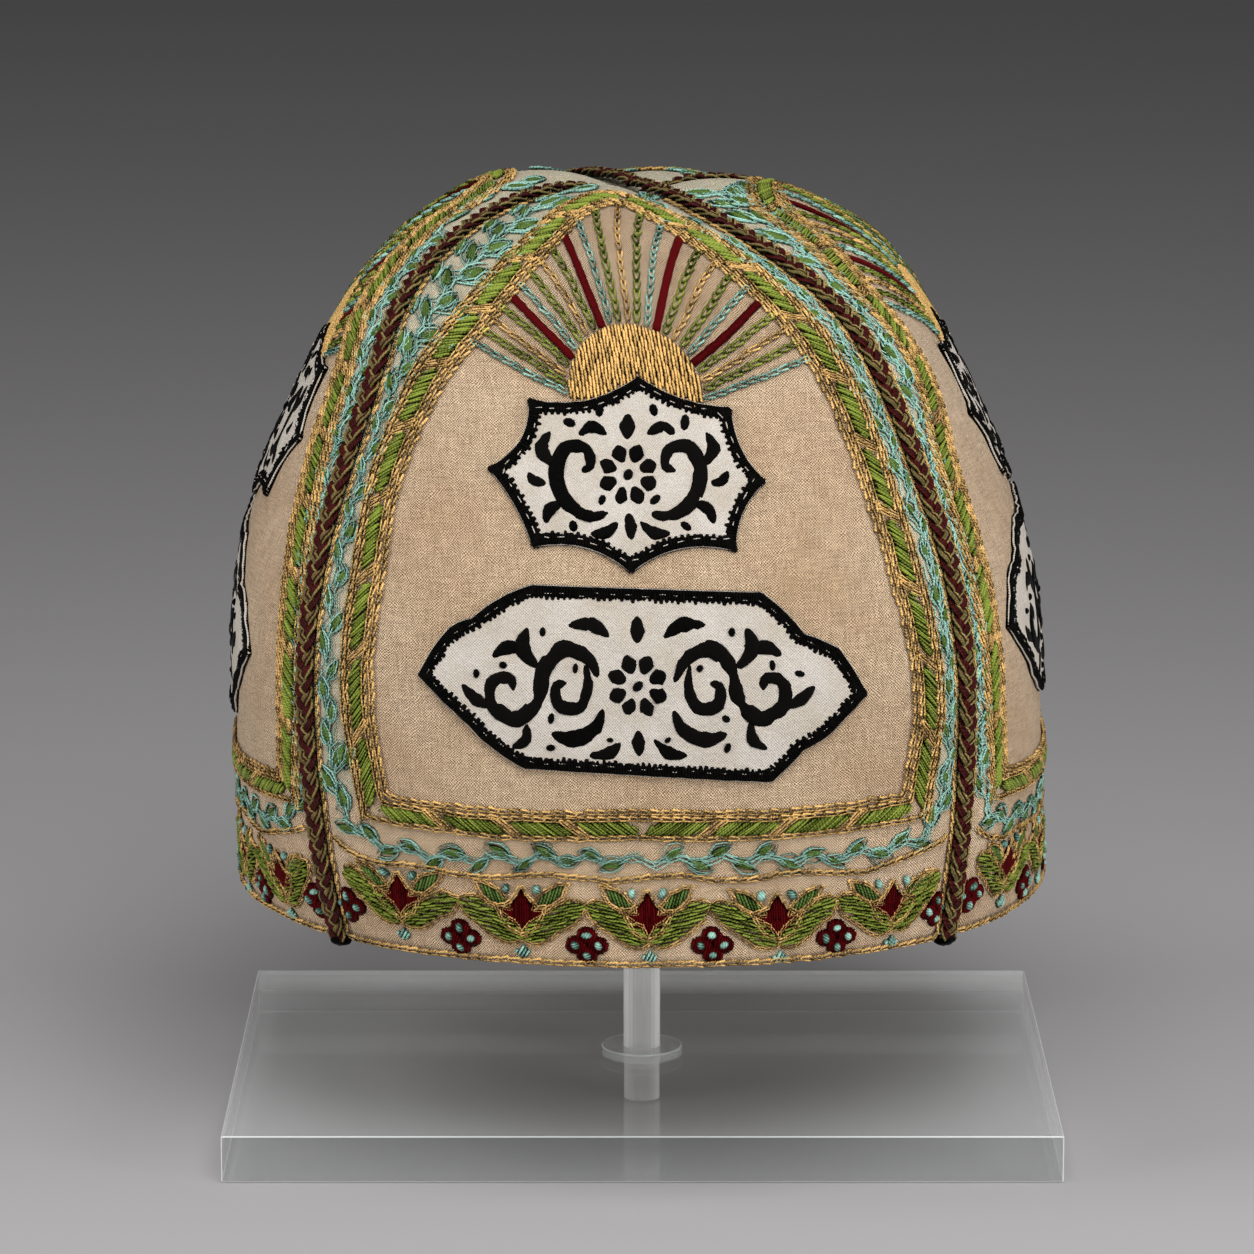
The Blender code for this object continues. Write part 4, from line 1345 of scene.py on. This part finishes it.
# The patches' edges, overcast in black floss. The stitches lie side by side over the cut edge, and their
# inner ends make a ragged, toothed line on the white.
EDGE_SPACING = 0.6
EDGE_SHORT = 2.0
EDGE_LONG = 3.0
EDGE_TOOTH = 0.45
EDGE_OVER = 0.1
EDGE_WIDTH = 1.1
EDGE_HEIGHT = 0.5
TACK_INWARD = 1.5
TACK_PITCH = 3.4
TACK_LENGTH = 1.7
TACK_WANDER = 0.16
TACK_THREAD = 0.3
TACK_LIFTS = (0.05, 0.26)
black_silk = silk("black_silk_floss", "#020202", "#0C0B0A", roughness=0.6, ply_depth=0.2, shine=0.3)


def over_creases(layer):
    """Lets stitches rise and fall with the creases of the patch they lie on."""
    flat, faces, thread = layer
    flat[:, 2] += patch_top(flat[:, 0], flat[:, 1]) - PATCH_TOP
    return flat, faces, thread


def edge_stitches(outline):
    """Overcast stitches all along an outline: over the cut edge, and on from there over the cotton."""
    line = closed(outline)
    ring = closed(offset_line(outline, EDGE_OVER))
    stations = stations_along(line)
    count = int(stations[-1] / EDGE_SPACING)
    places = np.linspace(0.0, stations[-1], count, endpoint=False)
    on_line = read_along(line, stations, places)
    outside = read_along(ring, stations, places)
    inward = unit(on_line - outside)
    inward = unit(np.roll(inward, 2, axis=0) + inward + np.roll(inward, -2, axis=0))
    tooth = (np.arange(count) % 2)[:, None] * EDGE_TOOTH
    tooth = tooth + (1.0 - EDGE_TOOTH) * CHANCE.uniform(0.0, 1.0, (count, 1))
    reach = EDGE_SHORT + (EDGE_LONG - EDGE_SHORT) * tooth
    over_edge, faces, thread = lay(THREAD, outside, on_line + inward * EDGE_WIDTH, EDGE_WIDTH, 0.0, 0.0)
    points = THREAD[0]
    rise = smooth_step(np.tile(points[:, 1], count) * 3.5)
    over_edge[:, 2] = rise * PATCH_TOP + np.tile(points[:, 2], count) * EDGE_HEIGHT
    on_cotton = lay(THREAD, on_line + inward * 0.1, on_line + inward * reach, EDGE_WIDTH, EDGE_HEIGHT,
                    PATCH_TOP - 0.05)
    return [over_creases((over_edge, faces, thread)), over_creases(on_cotton)]


def tacking_stitches(outline):
    """A row of fine running stitches in white thread that tacks the patch down through its black edge."""
    line = walk(closed(offset_line(outline, -TACK_INWARD)), TACK_PITCH)[:-1]
    ahead = unit(np.roll(line, -1, axis=0) - line)
    length = CHANCE.uniform(0.5, 1.0, (len(line), 1)) * TACK_LENGTH
    line = line + CHANCE.normal(0.0, TACK_WANDER, line.shape)
    lift = PATCH_TOP + CHANCE.uniform(*TACK_LIFTS)
    return over_creases(lay(THREAD, line, line + ahead * length, TACK_THREAD, TACK_THREAD, lift))


# The motif on each patch: a scroll of leaves round a rosette with dots between, sewn down in black floss.
# Both halves mirror each other. Strokes swell and taper, and stand a little above the cotton.
def stroke(line, *widths):
    """A stroke of the scroll: its points, and its width at each of them."""
    return np.array(line), widths


STAR_STROKES = (
    stroke(((4.2, -8.6), (9.0, -9.6), (14.5, -6.4), (16.8, 0.6), (14.0, 6.4), (9.6, 5.6), (9.0, 1.8),
            (11.6, 0.6)), 0.6, 2.0, 2.6, 2.7, 2.4, 1.9, 1.7, 0.5),
    stroke(((14.8, -6.2), (18.4, -8.0), (19.8, -12.0)), 0.7, 2.3, 0.4),
    stroke(((16.8, 1.6), (20.0, 5.6), (18.0, 10.4)), 0.8, 2.6, 0.4),
    stroke(((18.6, -2.2), (21.8, -1.4), (23.4, 1.6)), 0.4, 2.0, 0.4),
    stroke(((12.0, 8.6), (8.4, 11.0), (4.4, 9.0)), 0.4, 2.3, 0.6),
    stroke(((2.2, -10.4), (5.4, -13.2), (10.4, -13.4)), 0.5, 2.2, 0.4),
)
STAR_MIDDLE = (
    stroke(((0.0, 8.0), (0.0, 11.2), (0.0, 15.0)), 0.6, 3.2, 0.3),
    stroke(((0.0, -8.6), (0.0, -12.0), (0.0, -16.0)), 0.6, 3.0, 0.3),
)
STAR_DOTS = ((6.4, 14.8, 2.4), (13.2, -11.8, 2.2), (13.6, 12.0, 2.4), (6.2, -5.8, 1.9))
LONG_STROKES = (
    stroke(((8.6, 0.8), (11.6, 6.2), (17.0, 8.4), (21.6, 4.2), (23.4, -3.0), (28.4, -7.4), (33.6, -4.0),
            (33.0, 1.2), (29.4, 1.6), (28.8, -1.8)), 0.7, 2.3, 3.0, 2.8, 2.5, 2.8, 2.5, 2.1, 1.8, 0.5),
    stroke(((12.6, 6.0), (11.8, -0.4), (14.2, -4.8), (18.6, -4.0), (18.8, 0.2), (16.0, 0.8)),
           0.6, 1.8, 2.3, 2.2, 1.8, 0.5),
    stroke(((8.0, -4.4), (10.4, -9.6), (16.0, -11.8), (21.4, -10.2)), 0.5, 2.4, 3.0, 0.4),
    stroke(((22.8, 3.6), (26.6, 8.6), (25.0, 13.6)), 0.6, 3.0, 0.4),
    stroke(((24.0, 6.8), (29.6, 8.6), (34.0, 6.0)), 0.5, 2.6, 0.4),
    stroke(((5.6, 10.4), (10.6, 13.6), (17.4, 13.2)), 0.5, 2.7, 0.4),
    stroke(((33.6, -5.2), (37.4, -3.0), (40.6, 0.4)), 0.6, 2.4, 0.4),
    stroke(((26.0, -7.8), (26.4, -12.0), (30.4, -14.6)), 0.6, 2.2, 0.4),
    stroke(((3.0, -11.6), (6.8, -14.8), (12.6, -15.6)), 0.4, 2.3, 0.4),
)
LONG_MIDDLE = (
    stroke(((0.0, 9.0), (0.0, 12.4), (0.0, 16.4)), 0.5, 3.0, 0.3),
    stroke(((0.0, -9.4), (0.0, -12.6), (0.0, -16.6)), 0.5, 2.8, 0.3),
)
LONG_DOTS = ((14.6, 4.0, 1.5), (20.4, -7.2, 1.6), (22.0, 12.0, 1.7), (31.0, 4.6, 1.5), (6.8, -12.0, 1.2),
             (37.0, 2.6, 1.5), (20.6, -13.8, 1.5))
ROSETTE_PETALS = 8
ROSETTE_RADIUS = 7.4
STROKE_STEP = 0.9
STROKE_HEIGHT = 0.7
STROKE_SPREAD = 0.25
STROKE_UNEVEN = 0.13
STROKE_SINK = 0.4
STROKE_SIDES = 8
MOTIF_SIZE = 0.9
MOTIFS = {
    "star": (STAR_STROKES, STAR_MIDDLE, STAR_DOTS, (-0.4, 101.0)),
    "long": (LONG_STROKES, LONG_MIDDLE, LONG_DOTS, (0.6, 58.4)),
}


def stroke_layer(points, widths, mirror, centre):
    line = points * (mirror * MOTIF_SIZE, MOTIF_SIZE)
    given = stations_along(line)
    smooth = smooth_line(line, STROKE_STEP)
    places = stations_along(smooth)
    widths = np.interp(places / places[-1], given / given[-1], widths)
    across, up = (smooth + centre).T
    heights = STROKE_HEIGHT * np.minimum(widths / 1.4, 1.0)
    spread = widths * 1.2 + STROKE_SPREAD + CHANCE.normal(0.0, STROKE_UNEVEN, widths.shape)
    return sweep(smooth + centre, spread, heights, STROKE_SIDES, patch_top(across, up) - STROKE_SINK)


def motif_layers(kind, shift):
    strokes, middle, dots, place = MOTIFS[kind]
    centre = np.array(place) + shift
    layers = [stroke_layer(*one, mirror, centre) for one in strokes for mirror in (1.0, -1.0)]
    layers += [stroke_layer(*one, 1.0, centre) for one in middle]
    for number in range(ROSETTE_PETALS):
        angle = 2.0 * math.pi * (number + 0.5) / ROSETTE_PETALS
        ray = np.array((math.cos(angle), math.sin(angle))) * ROSETTE_RADIUS
        petal = stroke([ray * share for share in (0.36, 0.72, 1.0)], 0.5, 3.1, 0.7)
        layers.append(stroke_layer(*petal, 1.0, centre))
    layers.append(knot(centre, 2.4, height=0.8, lift=PATCH_TOP - 0.1))
    for across, up, size in dots:
        for mirror in (1.0, -1.0):
            spot = centre + np.array((across * mirror, up)) * MOTIF_SIZE
            layers.append(knot(spot, size * 1.15, height=0.6, lift=PATCH_TOP - 0.1))
    return layers


for panel, kind, outline, shift in PATCHES:
    for name, layers, material, slot in (
        ("_tacking_", [tacking_stitches(outline)], cotton, "patch_cotton"),
        ("_edge_", edge_stitches(outline), black_silk, "stitch_black"),
        ("_motif_", motif_layers(kind, shift), black_silk, "stitch_black"),
    ):
        sew(kind + name + panel.name, layers, panel.quarters, material, slot)


# The two seam braids. Each is a flat plait of three strands of mercerised cotton, maroon and olive gold, and
# runs from hem to hem over the crown, couched into the groove over a seam. One passes over the other.
BRAID_HALF_HEIGHT = 1.5
BRAID_REST = 1.5
BRAID_LIFT = 0.3
PRESSED_HALF_HEIGHT = 0.7
CROSSING_FLAT = 3.0
CROSSING_REACH = 15.0
PLAIT_PERIOD = 8.4
PLAIT_HALF_WIDTH = 1.5
PLAIT_HALF_HEIGHT = 0.6
PLIES = 4
PLY_OFFSET = 0.48
PLY_SIZE = 0.56
PLY_HEIGHT = 0.75
PLY_SIDES = 4
PLY_STEP = 0.84
OLIVE_PLIES = ((0, 0), (1, 0), (1, 1), (1, 3), (2, 3))
OLIVE_CODE = 2.0
PLAIT_TWIST = 0.8
plait_cotton, tree, shader = start_material("mercerised_cotton_plait", "#3A0A0C", Roughness=0.55,
                                            Specular_IOR_Level=0.15)
place, coded, ply = twisted(tree, 1.2, PLAIT_TWIST)
blotch = add_node(tree, "TexNoise", {"Vector": place, "Scale": 0.5, "Detail": 2.0})
is_olive = add_node(tree, "Math", {0: coded, 1: OLIVE_CODE / 2.0}, operation="GREATER_THAN")
# Each ply's shade is its own tone by chance with painted shade: darker towards its underside, lighter on top.
shade = add_node(tree, "Math", {0: coded, 1: OLIVE_CODE}, operation="MODULO")
tone = add_node(tree, "Math", {0: blotch, 1: 0.6, 2: shade}, operation="MULTIPLY_ADD")
share = add_node(tree, "MapRange", {"Value": tone, "From Min": 0.5, "From Max": 1.25})
maroon = add_node(tree, "Mix", {0: share, 6: linear("#0A0101"), 7: linear("#470808")}, data_type="RGBA")
olive = add_node(tree, "Mix", {0: share, 6: linear("#141102"), 7: linear("#A08F56")}, data_type="RGBA")
dyed = add_node(tree, "Mix", {0: is_olive, 6: maroon, 7: olive}, data_type="RGBA")
bump = add_node(tree, "Bump", {"Strength": 0.6, "Distance": 0.0002, "Height": ply})
set_inputs(tree, shader, {"Base Color": dyed, "Normal": bump})


def braid_frames(first_azimuth, over):
    """The braid's middle line from hem to hem in millimetres, its normals, and how flat it is pressed."""
    ups = np.arange(0.0, CROWN_UP - 0.5, 1.0)
    station = np.concatenate([ups, [CROWN_UP], 2.0 * CROWN_UP - ups[::-1]])
    up = np.minimum(station, 2.0 * CROWN_UP - station)
    azimuth = np.where(station <= CROWN_UP, first_azimuth, first_azimuth + math.pi)
    near = smooth_step((CROSSING_REACH - (CROWN_UP - up)) / (CROSSING_REACH - CROSSING_FLAT))
    half = np.full(up.shape, BRAID_HALF_HEIGHT)
    rest = BRAID_LIFT - groove_depth(up, BRAID_REST)
    if over:
        rest = rest + (2.0 * PRESSED_HALF_HEIGHT + BRAID_LIFT) * near
    else:
        half = half + (PRESSED_HALF_HEIGHT - BRAID_HALF_HEIGHT) * near
    normal = outward(up, azimuth)
    centre = plain_point(up, azimuth) + normal * (rest + half)[:, None]
    return centre, normal, half / BRAID_HALF_HEIGHT


def plait_layers(length):
    """Twelve plies in three strands, drawn flat: along the braid, across it and above its middle line."""
    stations = np.arange(0.0, length + PLY_STEP, PLY_STEP)
    layers = []
    for strand in range(3):
        phase = 2.0 * math.pi * (stations / PLAIT_PERIOD + strand / 3.0)
        line = np.stack([stations, PLAIT_HALF_WIDTH * np.sin(phase)], axis=1)
        for number in range(PLIES):
            place = (number - (PLIES - 1) / 2.0) * PLY_OFFSET
            lift = PLAIT_HALF_HEIGHT * np.sin(2.0 * phase) - PLY_HEIGHT / 2.0 - 0.12 * place * place
            flat, faces, thread = sweep(beside(line, place), PLY_SIZE, PLY_HEIGHT, PLY_SIDES, lift)
            thread[:, 2] += OLIVE_CODE if (strand, number) in OLIVE_PLIES else 0.0
            layers.append((flat, faces, thread))
    return layers


for name, first_azimuth in (("over", EIGHTH), ("under", -EIGHTH)):
    centre, normal, flatness = braid_frames(first_azimuth, name == "over")
    run = stations_along(centre)
    flat, faces, thread = join(plait_layers(run[-1]))
    along = unit(np.gradient(centre, run, axis=0))
    side = unit(np.cross(normal, along))
    centre, side, normal = (read_along(values, run, flat[:, 0]) for values in (centre, side, normal))
    height = flat[:, 2] * np.interp(flat[:, 0], run, flatness)
    points = centre + side * flat[:, 1:2] + normal * height[:, None]
    piece = make_piece("braid_" + name, points * MM, faces, thread, plait_cotton, "braid_thread")
    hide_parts("seam_braid_" + name)


# The braids' ends. Black cotton is wound round each end where it turns under the hem, and knotted.
END_KNOT = (2.7, 1.9, 1.15)
END_KNOT_INWARD = 0.3
END_KNOT_DROP = (0.0, 0.0, 0.4)
for number in range(4):
    azimuth = np.array([EIGHTH + number * QUARTER])
    place = plain_point(np.array([0.0]), azimuth)[0]
    normal = outward(np.array([0.0]), azimuth)[0]
    lump = add_alone(bpy.ops.mesh.primitive_uv_sphere_add, "end_knot_" + str(number + 1), segments=16,
                     ring_count=10, radius=1.0)
    points = read_points(lump.data)
    ridges = 1.0 + 0.1 * np.sin(points[:, 0] * 11.0)
    points = points * END_KNOT * np.stack([np.ones(len(points)), ridges, ridges], axis=1)
    spun = np.column_stack([turned(points, math.degrees(azimuth[0])), points[:, 2]])
    write_points(lump.data, (spun + place - normal * END_KNOT_INWARD - END_KNOT_DROP) * MM)
    # The lump's height also serves as its painted shade: its top is painted lighter.
    store(lump.data, "thread", points)
    put_on(lump, black_silk, "stitch_black")
